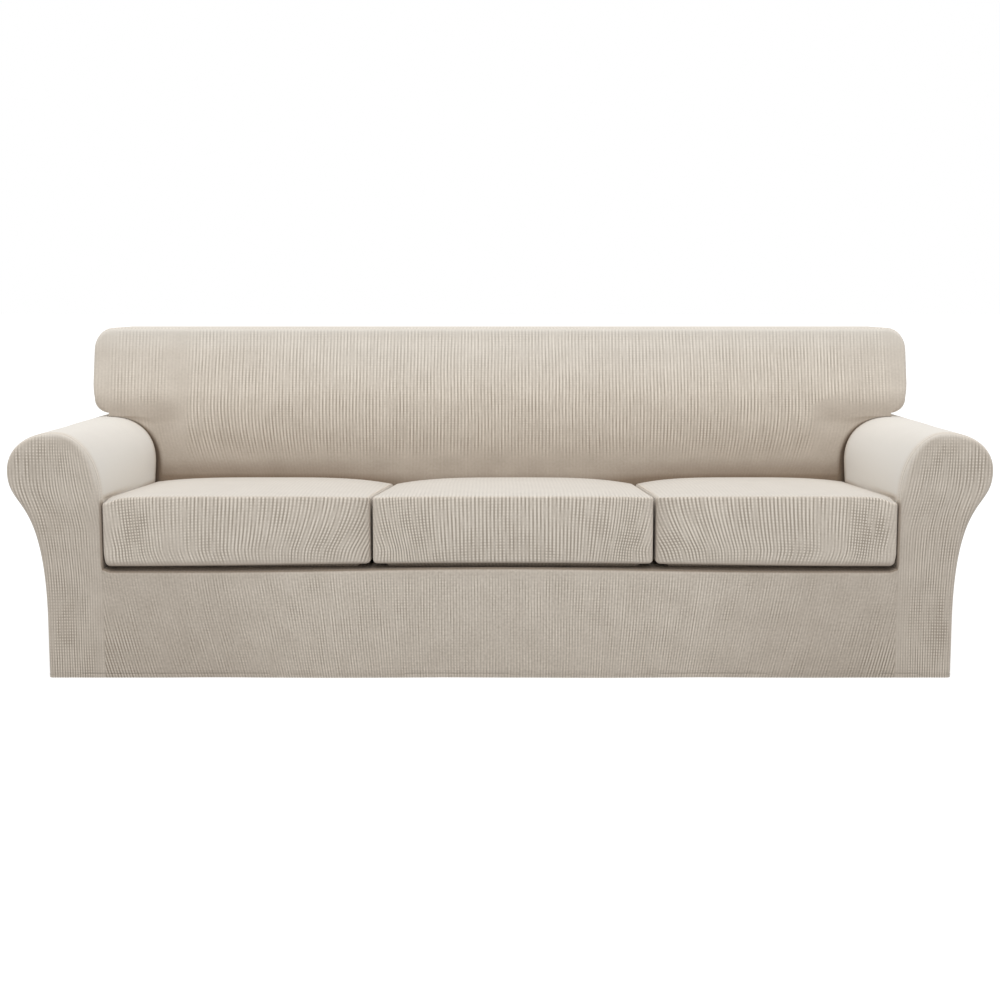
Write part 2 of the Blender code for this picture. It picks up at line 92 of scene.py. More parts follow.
TOP = cad_box[1].z
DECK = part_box("seat_deck")[1].z
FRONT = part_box("arm_front_right")[0].y
ARM_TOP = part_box("arm_wrap_right")[1].z
EAR_SLACK = 0.0020          # how much less the ears reach out than the solid
EAR_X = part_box("back_band")[1].x - EAR_SLACK

BACK_FACE = (0.075, 0.460)  # depth and height of a point of the face
BACK_LEAN = 0.270           # how far it leans back for each metre of height
BACK_CROWN = 0.012          # fullness in its middle

CREST_X = 1.114             # crest of the arm's roll
ROLL_Z = 0.526              # height of the roll's widest point
UPRIGHT_FRONT = 0.460       # height at which the roll's inner side becomes upright, at the front
UPRIGHT_REAR = 0.490        # and at the back
REACH_FRONT = 0.111         # from the crest in to the seat side, at the front
REACH_REAR = 0.139          # and at the rear of the seat
ROLL_POWER = (2.0, 2.28)    # how square the roll is inside, at the front and at the rear

EAR_Z = 0.634               # underside of the ears
EAR_CORNER = (0.044, 0.043)     # radii of their lower corners, across and upright
TOP_CORNER = (0.052, 0.061)     # and of their upper corners
EAR_EDGE_GROWS = 0.030      # distance from an arm's crest over which the edge rounds out
EAR_ROWS = 12
EAR_EASE = 4                # rows over which the ear's side takes up what its corner leaves
CORNER_ROWS = (8, 10)       # round the lower and the upper corner

HEM_ROWS = (0.0, 0.004, 0.008, 0.010, 0.012, 0.016, 0.022, 0.035, 0.047)
LOW_ROWS = 18               # from the hem's rows up to the deck
SEAT_ROWS = 21              # from the deck up to the roll's widest point
ROLL_ROWS = 16              # and on to its crest
BACK_COLUMNS = 82           # from the middle to a side
LAST_SHARES = (0.982, 0.988, 0.993, 0.997, 1.0)     # the closer columns beside a side's seam
EVEN_SHARE = 0.975          # where the even columns end
RIM_TURNS = np.radians((0, 15, 30, 45))     # from a panel's face to its seam half way round an edge
SHARP_FROM = 55             # degrees between two faces of the cloth that make an edge sharp

CREASE_BACK = 0.014         # how far the seam beside an arm is tucked back
CREASE_OUT = 0.007          # and how far it is tucked into the arm
CREASE_WIDTH = 0.006        # distance from the seam over which the cloth turns in
CREASE_FADE = 0.085         # height below the arm's crest over which the crease deepens

Fold = namedtuple("Fold", "x z length width turn depth")    # its middle, half sizes, degrees and height
BACK_FOLDS = (
    Fold(-0.78, 0.535, 0.150, 0.034, -6, -0.0035),
    Fold(-0.93, 0.600, 0.120, 0.030, 38, -0.0028),
    Fold(-0.30, 0.520, 0.180, 0.040, 2, -0.0022),
    Fold(-0.55, 0.700, 0.260, 0.060, 8, 0.0020),
    Fold(0.12, 0.640, 0.300, 0.050, -4, -0.0018),
    Fold(0.34, 0.525, 0.140, 0.034, 4, -0.0026),
    Fold(0.60, 0.720, 0.240, 0.060, -7, 0.0022),
    Fold(0.80, 0.530, 0.160, 0.036, 5, -0.0036),
    Fold(0.94, 0.610, 0.110, 0.030, -40, -0.0026),
)

BACK_KEEP = (0.07, 0.05)    # distances from the sides and the top within which the face stays plain
CROWN_SHAPE = (4, 0.8)      # powers of the crown's shape across and upright

DRAG = 0.055                # how far the ribs are dragged inwards at the seat
DRAG_FROM = 0.660           # height below which they bend
DRAG_PLACES = (0.30, 0.93)  # distance from the middle where the drag starts, and where it is full


def mix(a, b, t):
    return a + (b - a) * t


def smooth(low, high, value):
    """0 at low, 1 at high, and a soft rise between."""
    t = np.clip((value - low) / (high - low), 0, 1)
    return t * t * (3 - 2 * t)


def change(value, start, end, first=0, last=1):
    """The first amount up to a start, the last one from an end on, and a soft change between."""
    return mix(first, last, smooth(start, end, value))


def arc(centre, radii, start, end, steps):
    """Points along an ellipse's arc, without its first point. The angles are in degrees."""
    turn = np.radians(np.linspace(start, end, steps + 1))[1:]
    return np.column_stack((centre[0] + radii[0] * np.cos(turn), centre[1] + radii[1] * np.sin(turn)))


def inset(line, distance):
    """A line of (x, z) points moved to the left of its run, by one distance or one for each point."""
    run = np.diff(line, axis=0)
    run /= np.linalg.norm(run, axis=1, keepdims=True)
    side = np.column_stack((-run[:, 1], run[:, 0]))
    before = np.vstack((side[:1], side))
    turn = before + np.vstack((side, side[-1:]))
    turn /= np.linalg.norm(turn, axis=1, keepdims=True)
    reach = distance / np.maximum((turn * before).sum(axis=1), 0.4)
    return line + turn * reach[:, None]


def line_length(line):
    """How far along a line each of its points lies."""
    return np.concatenate(([0], np.cumsum(np.linalg.norm(np.diff(line, axis=0), axis=1))))


def stacked(rows):
    """Rows of points as one array for each coordinate. A single number holds for its whole row."""
    return np.array([np.broadcast_arrays(*row) for row in rows]).swapaxes(0, 1)


def folds(table, x, z):
    """How far soft folds lift the cloth at places in a panel's plane."""
    total = np.zeros(np.broadcast(x, z).shape)
    for fold in table:
        turn = math.radians(fold.turn)
        along = (x - fold.x) * math.cos(turn) + (z - fold.z) * math.sin(turn)
        across = (z - fold.z) * math.cos(turn) - (x - fold.x) * math.sin(turn)
        total += fold.depth * np.exp(-(along / fold.length) ** 2 - (across / fold.width) ** 2)
    return total


def mirrored(line):
    """A line from one side to the middle, carried on to the other side."""
    return np.vstack((line, (line * (-1, 1))[-2::-1]))


def back_face(z):
    return BACK_FACE[0] + BACK_LEAN * (z - BACK_FACE[1])


SEAT_REAR = back_face(DECK)


def arm_inner_x(z, y):
    """Half width between the arms: upright beside the cushions, then in a quarter ellipse over the roll."""
    back = (y - FRONT) / (SEAT_REAR - FRONT)
    upright = mix(UPRIGHT_FRONT, UPRIGHT_REAR, np.minimum(back, 1))
    rise = np.clip((z - upright) / (ARM_TOP - upright), 0, 1)
    power = mix(*ROLL_POWER, np.clip(back, 0, 1))
    return CREST_X - (1 - rise ** power) ** (1 / power) * mix(REACH_FRONT, REACH_REAR, back)


def half_shares(columns):
    """Columns from the middle to a side as shares, closer together in the last few centimetres."""
    return np.concatenate((np.linspace(0, EVEN_SHARE, columns), LAST_SHARES))


def both_sides(half):
    return np.concatenate((-half[:0:-1], half))


# Heights of the rows that every panel beside an arm shares
low_heights = np.concatenate((HEM_ROWS[:-1], np.linspace(HEM_ROWS[-1], DECK - EDGE, LOW_ROWS + 1)))
roll_turn = np.radians(np.linspace(0, 90, ROLL_ROWS + 1))[1:]
roll_heights = ROLL_Z + (ARM_TOP - ROLL_Z) * np.sin(roll_turn)
seat_heights = np.concatenate((np.linspace(DECK, ROLL_Z, SEAT_ROWS + 1), roll_heights))
heights = np.concatenate((low_heights, seat_heights))
back_half = half_shares(BACK_COLUMNS)

# The back's line above the arm's crest: the riser, the ear's lower corner, its side and its upper corner
ear_low = EAR_Z + EAR_CORNER[1]
ear_high = TOP - TOP_CORNER[1]
ear_rows = np.linspace(ear_low, ear_high, EAR_ROWS + 1)[1:]
ear_give = EAR_X - CREST_X - EAR_CORNER[0]
ear_side = EAR_X - ear_give * np.clip(1 - np.arange(1, EAR_ROWS + 1) / EAR_EASE, 0, 1) ** 2
ear_line = np.vstack((
    [(CREST_X, (ARM_TOP + EAR_Z) / 2), (CREST_X, EAR_Z)],
    arc((CREST_X, ear_low), EAR_CORNER, -90, 0, CORNER_ROWS[0]),
    np.column_stack((ear_side, ear_rows)),
    arc((EAR_X - TOP_CORNER[0], ear_high), TOP_CORNER, 0, 90, CORNER_ROWS[1]),
))
top_half = (EAR_X - TOP_CORNER[0]) * back_half[-2::-1]
top_line = np.column_stack((top_half, np.full(len(top_half), TOP)))

inside_line = np.vstack((
    np.column_stack((arm_inner_x(seat_heights, back_face(seat_heights)), seat_heights)),
    ear_line,
    top_line,
))
crest_row = len(seat_heights) - 1
top_row = crest_row + len(ear_line)
run_length = line_length(inside_line)
inside_edge = EDGE * smooth(0, EAR_EDGE_GROWS, run_length - run_length[crest_row])
crease = smooth(0, CREASE_FADE, ARM_TOP - inside_line[:, 1]) * (np.arange(len(inside_line)) <= crest_row)
crease_shift = inset(inside_line, -CREASE_OUT * crease) - inside_line


# For each point: how clear the ribs are, how much light or shade is painted (pale), and how clear the rows
# are
LOOKS = ("weave", "pale", "rows")
Net = namedtuple("Net", ("points", "cloth") + LOOKS)


def net(x, y, z, cloth_x, cloth_z, weave, pale, rows=0.30):
    """A net of points with the cloth's own coordinates: how clear its ribs are, how much light or shade is
    painted on it (above 0 a painted highlight, below 0 painted shade), and how clear the fine rows that
    cross the ribs are."""
    shape = np.broadcast(x, y, z).shape
    points = np.stack([np.broadcast_to(part, shape) for part in (x, y, z)], axis=-1)
    cloth = np.stack([np.broadcast_to(part, shape) for part in (cloth_x, cloth_z)], axis=-1)
    return Net(points, cloth, *[np.broadcast_to(part, shape) for part in (weave, pale, rows)])


def sew(name, nets, facing, doubled=None):
    """One sheet of knit from its nets, thickened inwards, with two layers where doubled(place) is true."""
    points, cloth, quads = [], [], []
    looks = {name: [] for name in LOOKS}
    start = 0
    for part in nets:
        rows, columns = part.points.shape[:2]
        index = start + np.arange(rows * columns).reshape(rows, columns)
        corners = (index[:-1, :-1], index[:-1, 1:], index[1:, 1:], index[1:, :-1])
        quads.append(np.stack(corners, axis=-1).reshape(-1, 4))
        points.append(part.points.reshape(-1, 3))
        cloth.append(part.cloth.reshape(-1, 2))
        for attribute, values in looks.items():
            values.append(getattr(part, attribute).ravel())
        start += rows * columns
    mesh = bpy.data.meshes.new(name)
    mesh.from_pydata(np.vstack(points).tolist(), [], np.vstack(quads).tolist())
    corner_points = np.empty(len(mesh.loops), np.int32)
    mesh.loops.foreach_get("vertex_index", corner_points)
    mesh.uv_layers.new(name="cloth").data.foreach_set("uv", np.vstack(cloth)[corner_points].ravel())
    for attribute, values in looks.items():
        layer = mesh.attributes.new(attribute, "FLOAT", "POINT")
        layer.data.foreach_set("value", np.concatenate(values))
    form = bmesh.new()
    form.from_mesh(mesh)
    bmesh.ops.remove_doubles(form, verts=form.verts, dist=JOIN)
    bmesh.ops.recalc_face_normals(form, faces=form.faces)
    outermost = max(form.faces, key=lambda face: face.calc_center_median().dot(facing))
    if outermost.normal.dot(facing) < 0:
        bmesh.ops.reverse_faces(form, faces=form.faces)
    form.to_mesh(mesh)
    form.free()
    sheet = bpy.data.objects.new(name, mesh)
    bpy.context.scene.collection.objects.link(sheet)
    layers = sheet.vertex_groups.new(name="layers")
    layers.add([vertex.index for vertex in mesh.vertices], 0.5, "REPLACE")
    if doubled:
        layers.add([vertex.index for vertex in mesh.vertices if doubled(vertex.co)], 1.0, "REPLACE")
    thicken = sheet.modifiers.new("thickness", "SOLIDIFY")
    thicken.thickness = 2 * CLOTH
    thicken.offset = -1
    thicken.use_even_offset = True
    thicken.vertex_group = layers.name
    solid = bpy.data.meshes.new_from_object(sheet.evaluated_get(bpy.context.evaluated_depsgraph_get()))
    sheet.modifiers.clear()
    sheet.vertex_groups.clear()
    sheet.data = solid
    bpy.data.meshes.remove(mesh)
    solid.name = name
    solid.shade_smooth()
    solid.set_sharp_from_angle(angle=math.radians(SHARP_FROM))
    return sheet


def fit(piece, node, material):
    """Gives a finished sheet its material, puts it under the root and hides its node's solid."""
    piece.data.materials.clear()
    piece.data.materials.append(material)
    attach(piece, "root")
    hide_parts(node)


def wire(tree, kind, **inputs):
    """Adds a node, a shader's by its short name. What isn't one of its settings is an input, by name or as i
    and its number, and takes a value or another node's socket."""
    node = tree.nodes.new(kind if "Node" in kind else "ShaderNode" + kind)
    for key, value in inputs.items():
        if hasattr(node, key):
            setattr(node, key, value)
            continue
        socket = node.inputs[int(key[1:]) if key[0] == "i" and key[1:].isdigit() else key.replace("_", " ")]
        if isinstance(value, bpy.types.NodeSocket):
            tree.links.new(value, socket)
        else:
            socket.default_value = value
    return node


def sum_up(tree, operation, first, second=0.0, third=0.0):
    return wire(tree, "Math", operation=operation, i0=first, i1=second, i2=third).outputs[0]


def noise(tree, place, scale, detail=2.0):
    return wire(tree, "TexNoise", Vector=place, Scale=scale, Detail=detail).outputs["Fac"]


def vary(tree, value, centre, strength, base):
    """A base value plus how far another one is from its centre, times a strength."""
    return sum_up(tree, "MULTIPLY_ADD", sum_up(tree, "SUBTRACT", value, centre), strength, base)


def spread(tree, value, seen, wanted):
    """Carries a range of values over to another."""
    return wire(tree, "MapRange", Value=value, From_Min=seen[0], From_Max=seen[1],
                To_Min=wanted[0], To_Max=wanted[1]).outputs[0]


def blend(tree, share, first, second, blend_type="MIX"):
    """Mixes two colours."""
    mixed = wire(tree, "Mix", data_type="RGBA", blend_type=blend_type, i0=share, i6=first, i7=second)
    return mixed.outputs[2]


SWAY = 0.9                  # how far a rib sways sideways along its length, in ribs
SWAY_SCALE = 5.0            # a noise's scale is about its waves in a metre
RIB_POWER = 0.85            # below 1, a rib is broader than the groove beside it
ROW_POWER = 0.60
STREAKS = (70.0, 14.0)      # scales of the ribs' uneven strength, across them and along them
STREAK_STRENGTH = ((0.32, 0.70), (0.15, 1.85))      # from the noise's range to a share of the strength
CHECK_SCALE = 9.0           # patches where the rows that cross the ribs are clear
CHECK_STRENGTH = ((0.36, 0.66), (0.45, 1.55))
PATTERN_MEAN = 0.45         # of ribs and rows together
FIBRE = (900.0, 0.22, 0.10) # scale of the fibres, and what they add to the tone and the height
FLECK_SCALE = 150.0
MOTTLE = (16.0, 0.30)       # scale and tone of broad uneven patches
KNIT_ROUGH = (0.95, -0.06)  # in the grooves, and how much smoother it is on the ribs
NOISE_MEAN = 0.5


def knit_group():
    """The knit: upright ribs crossed by fine rows, uneven along their length, with matt fibres, and painted
    light and shade.
    """
    tree = bpy.data.node_groups.new("stretch_knit", "ShaderNodeTree")
    face = tree.interface
    face.new_socket("Cloth", in_out="INPUT", socket_type="NodeSocketVector")
    for name in ("Rib Pitch", "Row Pitch", "Fleck", "Weave", "Rows", "Pale"):
        face.new_socket(name, in_out="INPUT", socket_type="NodeSocketFloat")
    for name in ("Groove", "Rib", "Worn", "Shade"):
        face.new_socket(name, in_out="INPUT", socket_type="NodeSocketColor")
    face.new_socket("Colour", in_out="OUTPUT", socket_type="NodeSocketColor")
    face.new_socket("Height", in_out="OUTPUT", socket_type="NodeSocketFloat")
    face.new_socket("Roughness", in_out="OUTPUT", socket_type="NodeSocketFloat")
    given = tree.nodes.new("NodeGroupInput").outputs
    cloth = given["Cloth"]
    parts = wire(tree, "SeparateXYZ", Vector=cloth).outputs

    # Ribs and rows as two waves
    sway = sum_up(tree, "MULTIPLY_ADD", noise(tree, cloth, SWAY_SCALE, 1.0), SWAY, -SWAY * NOISE_MEAN)
    across = sum_up(tree, "ADD", sum_up(tree, "DIVIDE", parts["X"], given["Rib Pitch"]), sway)
    along = sum_up(tree, "DIVIDE", parts["Y"], given["Row Pitch"])
    waves = []
    for phase in (across, along):
        wave = sum_up(tree, "COSINE", sum_up(tree, "MULTIPLY", phase, 2 * math.pi))
        waves.append(sum_up(tree, "MULTIPLY_ADD", wave, 0.5, 0.5))
    rib = sum_up(tree, "POWER", waves[0], RIB_POWER)
    row = sum_up(tree, "POWER", waves[1], ROW_POWER)

    # Both together: the rows are clear in patches, and the ribs stronger in streaks
    patch = spread(tree, noise(tree, cloth, CHECK_SCALE), *CHECK_STRENGTH)
    check = sum_up(tree, "MINIMUM", sum_up(tree, "MULTIPLY", patch, given["Rows"]), 1.0)
    crossed = sum_up(tree, "ADD", sum_up(tree, "MULTIPLY", check, row), sum_up(tree, "SUBTRACT", 1.0, check))
    pattern = sum_up(tree, "MULTIPLY", rib, crossed)
    streaks = wire(tree, "CombineXYZ", X=sum_up(tree, "MULTIPLY", parts["X"], STREAKS[0]),
                   Y=sum_up(tree, "MULTIPLY", parts["Y"], STREAKS[1])).outputs[0]
    strength = spread(tree, noise(tree, streaks, 1.0, 3.0), *STREAK_STRENGTH)
    strength = sum_up(tree, "MULTIPLY", strength, given["Weave"])

    # Fibres and flecks on top of them; Pale paints a highlight where above 0 and shade where below 0
    fibre = noise(tree, cloth, FIBRE[0])
    tone = vary(tree, pattern, PATTERN_MEAN, strength, 0.5)
    tone = vary(tree, fibre, NOISE_MEAN, FIBRE[1], tone)
    tone = vary(tree, noise(tree, cloth, FLECK_SCALE), NOISE_MEAN, given["Fleck"], tone)
    tone = vary(tree, noise(tree, cloth, MOTTLE[0], 3.0), NOISE_MEAN, MOTTLE[1], tone)
    woven = blend(tree, tone, given["Groove"], given["Rib"])
    pale = blend(tree, sum_up(tree, "MAXIMUM", given["Pale"]), woven, given["Worn"])
    shaded = sum_up(tree, "MAXIMUM", sum_up(tree, "MULTIPLY", given["Pale"], -1.0))
    colour = blend(tree, shaded, pale, given["Shade"], "MULTIPLY")
    relief = sum_up(tree, "MULTIPLY", pattern, strength)
    height = sum_up(tree, "MULTIPLY_ADD", fibre, FIBRE[2], relief)
    rough = sum_up(tree, "MULTIPLY_ADD", pattern, KNIT_ROUGH[1], KNIT_ROUGH[0])
    result = tree.nodes.new("NodeGroupOutput").inputs
    for name, socket in (("Colour", colour), ("Height", height), ("Roughness", rough)):
        tree.links.new(socket, result[name])
    return tree


knit = knit_group()
GROOVE = (0.425, 0.364, 0.298, 1)
RIB = (0.892, 0.814, 0.715, 1)
# The colours towards which a painted highlight (pale above 0) and painted shade (pale below 0) move the knit
PAINTED_HIGHLIGHT = (0.655, 0.620, 0.565, 1)
SHADE = (0.360, 0.300, 0.250, 1)


def knit_material(name, rib_pitch, row_pitch, relief=0.0010, fleck=0.3, painted_highlight=PAINTED_HIGHLIGHT):
    """The knit with the pitch of its ribs and rows as this panel is stretched, and the colour of its painted
    highlight.
    """
    material = bpy.data.materials.new(name)
    material.use_nodes = True
    tree = material.node_tree
    shader = tree.nodes["Principled BSDF"]
    pattern = tree.nodes.new("ShaderNodeGroup")
    pattern.node_tree = knit
    tree.links.new(wire(tree, "UVMap", uv_map="cloth").outputs[0], pattern.inputs["Cloth"])
    for look in LOOKS:
        drawn = wire(tree, "Attribute", attribute_name=look).outputs["Fac"]
        tree.links.new(drawn, pattern.inputs[look.title()])
    for socket, value in (("Rib Pitch", rib_pitch), ("Row Pitch", row_pitch), ("Fleck", fleck),
                          ("Groove", GROOVE), ("Rib", RIB), ("Worn", painted_highlight), ("Shade", SHADE)):
        pattern.inputs[socket].default_value = value
    bump = wire(tree, "Bump", Strength=0.6, Distance=relief, Height=pattern.outputs["Height"]).outputs[0]
    tree.links.new(pattern.outputs["Colour"], shader.inputs["Base Color"])
    tree.links.new(pattern.outputs["Roughness"], shader.inputs["Roughness"])
    tree.links.new(bump, shader.inputs["Normal"])
    shader.inputs["Specular IOR Level"].default_value = 0.25
    shader.inputs["Sheen Weight"].default_value = 0.10
    shader.inputs["Sheen Roughness"].default_value = 0.5
    return material


def back_cloth(x, z):
    """The inside back's own coordinates: its ribs are dragged towards the middle above the seat."""
    side = smooth(*DRAG_PLACES, np.abs(x))
    drag = DRAG * side * np.maximum((DRAG_FROM - z) / (DRAG_FROM - BACK_FACE[1]), 0) ** 2
    return x + np.sign(x) * drag, z * math.hypot(1, BACK_LEAN)


# A look that changes is where it starts to change, where it ends, and its amounts before and after, 0 and 1
# if they aren't given. An amount is how clear the ribs are, or how much highlight or shade is painted on the
# cloth.
BACK_RIBS = (0.45, 0.70, 0.84, 0.76)        # from the middle to the sides
RIBS_END = (0.900, 0.870)                   # beside the arms
RIBS_REACH = (0.650, 0.700, 0, 0.10)        # how much further they go above the right arm
RIBS_LOSS_Z = (0.64, 0.54, 0, 0.10)         # what they lose above the cushions,
RIBS_LOSS_X = (0.70, 0.40)                  # in the middle
EAR_RIBS_Z = (0.645, 0.680, 0, 0.50)
EAR_RIBS_IN = (0.940, 0.965)
EAR_RIBS_OUT = (1.120, 1.095)
LEAST_RIBS = 0.10
TOP_RIBS = (0.870, 0.858, 0.30, 1)
SEAT_RIBS = (0.495, 0.560, 0.08, 1)         # behind the cushions

# Painted light and shade on the back: a highlight towards the top and along its edge, and shade lower down,
# close above and against the cushions, and under the ears
UPPER_PALE = 0.30                           # towards the top,
UPPER_PALE_Z = (0.66, 0.84)
UPPER_LOSS_X = (0.35, 0.85, 0, 0.18)        # less so at the sides,
UPPER_LOSS_Z = (0.84, 0.80)                 # except right at the top
EDGE_PALE = (0.845, 0.862, 0, 0.22)
LOW_DARK = (0.35, 0.70, 0.55, 0.62)         # from the middle to the sides,
LOW_DARK_Z = (0.70, 0.25)                   # from this height down, full this much lower
LOW_DARK_POWER = 0.9
CORNER_DARK = (0.20, 0.50, 0.06, 0.26)      # close above the cushions
CORNER_DARK_Z = (0.515, 0.470)
CONTACT_DARK = (0.20, 0.45, 0.16, 0.42)     # where they touch the back
CONTACT_DARK_Z = (0.464, 0.446)
EAR_DARK = (0.85, 0.98, 0, 0.22)            # the ears' lower parts
EAR_DARK_Z = (0.715, 0.640)
EAR_DARK_FROM = (0.60, 0.62)

# Painted shade in the crease where the back meets an arm
CREASE_START = (ARM_TOP + 0.002, ARM_TOP - 0.020)
CREASE_DARK = (ARM_TOP - 0.03, ARM_TOP - 0.12, 0.70, 1)
CREASE_LINE = (ARM_TOP - 0.03, ARM_TOP - 0.12, 0.0052, 0.0085)      # half the dark line's width


def back_weave(x, z):
    """The ribs are clear in the panel's middle, faint on the ears and gone beside the arms."""
    side = np.abs(x)
    reach = (x > 0) * change(z, *RIBS_REACH)
    middle = change(side - reach, *RIBS_END) * change(side, *BACK_RIBS)
    middle = middle * (1 - change(z, *RIBS_LOSS_Z) * change(side, *RIBS_LOSS_X))
    ears = change(side, *EAR_RIBS_IN) * change(side, *EAR_RIBS_OUT) * change(z, *EAR_RIBS_Z)
    return np.maximum(middle, np.maximum(ears, LEAST_RIBS)) * change(z, *TOP_RIBS) * change(z, *SEAT_RIBS)


def back_pale(x, z):
    """Painted light and shade: a highlight along the top, and shade down towards the seat, most of all just
    above the cushions.
    """
    side = np.abs(x)
    upper = UPPER_PALE - change(side, *UPPER_LOSS_X) * change(z, *UPPER_LOSS_Z)
    low = change(side, *LOW_DARK) * np.clip((LOW_DARK_Z[0] - z) / LOW_DARK_Z[1], 0, 1) ** LOW_DARK_POWER
    corner = change(side, *CORNER_DARK) * change(z, *CORNER_DARK_Z)
    contact = change(side, *CONTACT_DARK) * change(z, *CONTACT_DARK_Z)
    ears = change(side, *EAR_DARK) * change(z, *EAR_DARK_Z) * change(z, *EAR_DARK_FROM)
    return upper * change(z, *UPPER_PALE_Z) + change(z, *EDGE_PALE) - low - corner - contact - ears


def crease_shade(gap, z):
    """Painted shade in the crease where the back meets an arm: a dark line, thin over the roll and wider
    beside the seat.
    """
    line = np.exp(-(gap / change(z, *CREASE_LINE)) ** 2)
    return change(z, *CREASE_START) * change(z, *CREASE_DARK) * line


def inside_back_nets():
    ring = inset(inside_line, inside_edge)
    x = ring[:top_row + 1, 0][:, None] * both_sides(back_half)
    x[top_row] = mirrored(ring[top_row:])[:, 0][::-1]
    z = ring[:top_row + 1, 1][:, None]
    side = np.abs(x[:, -1:]) - np.abs(x)
    keep = smooth(0, BACK_KEEP[0], side) * smooth(0, BACK_KEEP[1], ring[top_row, 1] - z)
    rise = np.clip((z - UPRIGHT_REAR) / (TOP - EDGE - UPRIGHT_REAR), 0, 1)
    crown = BACK_CROWN * (1 - (x / EAR_X) ** CROWN_SHAPE[0]) * np.sin(math.pi * rise) ** CROWN_SHAPE[1]
    tuck = crease[:top_row + 1, None] * np.exp(-(side / CREASE_WIDTH) ** 2)
    y = back_face(z) - (crown + folds(BACK_FOLDS, x, z)) * keep + CREASE_BACK * tuck
    cloth = back_cloth(x, z)
    weave, pale = back_weave(x, z), back_pale(x, z) - crease_shade(side, z)
    shift = crease_shift[:top_row + 1, :, None] * np.exp(-(side / CREASE_WIDTH) ** 2)[:, None]
    field = net(x + np.sign(x) * shift[:, 0], y, z + shift[:, 1], *cloth, weave, pale)
    rim = []
    for turn in RIM_TURNS:
        line = inset(inside_line, inside_edge * (1 - math.sin(turn)))
        depth = back_face(line[:, 1]) + inside_edge * (1 - math.cos(turn)) + CREASE_BACK * crease
        line = mirrored(line + crease_shift)
        flat = mirrored(inset(inside_line, inside_edge * (1 - turn)))
        rim.append((line[:, 0], np.concatenate((depth, depth[-2::-1])), line[:, 1], flat[:, 0], flat[:, 1]))
    x, y, z, flat_x, flat_z = stacked(rim)
    rim_pale = back_pale(x, z) - crease_shade(0.0, z)
    return [field, net(x, y, z, *back_cloth(flat_x, flat_z), back_weave(x, z), rim_pale)]


back_knit = knit_material("knit_back", rib_pitch=0.0096, row_pitch=0.0070, painted_highlight=(0.800, 0.765, 0.705, 1))
inside_back = sew("inside_back_cloth", inside_back_nets(), Vector((0, -1, 0)))
fit(inside_back, "inside_back", back_knit)


# ---- Band round the back ----
# A strip of the same knit round both ears and along the top of the back, from one arm's crest to the other.
# It is sewn to the inside back in front and to the rear panel behind, each seam half way round the edge.
REAR_HEM = 0.405            # depth of the rear panel at the floor
REAR_TOP = 0.450            # and at the top of the back

BAND_STEPS = 22             # across the strip between its two edges
BAND_LOOKS = (0.30, 0.25)   # how clear its ribs are, and how much highlight is painted on it


def rear_face(z):
    return mix(REAR_HEM, REAR_TOP, z / TOP)


def band_net():
    line = inside_line[crest_row:]
    edge = inside_edge[crest_row:]
    length = run_length[crest_row:]
    rows = []
    for turn in RIM_TURNS[::-1]:
        near = inset(line, edge * (1 - math.cos(turn)))
        y = back_face(near[:, 1]) + edge * (1 - math.sin(turn))
        rows.append((near[:, 0], y, near[:, 1], back_face(near[:, 1]) + edge * (1 - turn)))
    for step in range(1, BAND_STEPS):
        y = mix(back_face(line[:, 1]) + edge, rear_face(line[:, 1]) - EDGE, step / BAND_STEPS)
        rows.append((line[:, 0], y, line[:, 1], y))
    for turn in RIM_TURNS:
        far = inset(line, np.full(len(line), EDGE * (1 - math.cos(turn))))
        y = rear_face(far[:, 1]) - EDGE * (1 - math.sin(turn))
        rows.append((far[:, 0], y, far[:, 1], rear_face(far[:, 1]) - EDGE * (1 - turn)))
    x, y, z, flat = stacked(rows)
    right = net(x, y, z, length[None, :], flat, *BAND_LOOKS)
    left = net(-x, y, z, 2 * length[-1] - length[None, :], flat, *BAND_LOOKS)
    return [right, left]


back_band = sew("back_band_cloth", band_net(), Vector((0, 0, 1)))
fit(back_band, "back_band", back_knit)


# ---- Outside back ----
# The rear panel, one piece of the knit from the band at the top down to the hem at the floor, as wide as
# the ears above and the arms below. Its sides follow the arms' rolls and flare. The hem is turned up inside.
ARM_HEM_X = 1.147           # half width at the hem
ARM_STRAIGHT = 0.140        # height to which the arm's outer side is straight
FLARE_PULL = (0.478, 0.424)     # heights of the flare's two handles
OVER_POWER = 2.12           # how square the roll is outside
HEM_WIDTH = 0.018
STITCH_Z = 0.010            # height of the hem's line of stitches
STITCH_SINK = 0.0007        # how far they draw the cloth in
STITCH_SPREAD = 0.0020      # and how far from them
KEEP = 0.05                 # distance from a seam or an edge within which the cloth stays plain
REAR_RIBS = (0.75, 0.25)    # on the face and on its rim
REAR_RIBS_FADE = 0.03

REAR_FOLDS = (
    Fold(-0.70, 0.22, 0.30, 0.05, 80, 0.0030),
    Fold(-0.25, 0.15, 0.22, 0.06, 94, -0.0026),
    Fold(0.18, 0.24, 0.28, 0.05, 86, 0.0028),
    Fold(0.62, 0.17, 0.24, 0.06, 97, -0.0030),
    Fold(-0.95, 0.55, 0.16, 0.04, 30, -0.0030),
    Fold(0.92, 0.56, 0.15, 0.04, -34, -0.0028),
)

ROLL_X = cad_box[1].x       # half width at the roll's widest point
flare = np.linspace(0, 1, 201)
flare_weights = ((1 - flare) ** 3, 3 * flare * (1 - flare) ** 2, 3 * flare ** 2 * (1 - flare), flare ** 3)
flare_x = sum(w * p for w, p in zip(flare_weights, (ARM_HEM_X, ARM_HEM_X, ROLL_X, ROLL_X)))
flare_z = sum(w * p for w, p in zip(flare_weights, (ARM_STRAIGHT, *FLARE_PULL, ROLL_Z)))


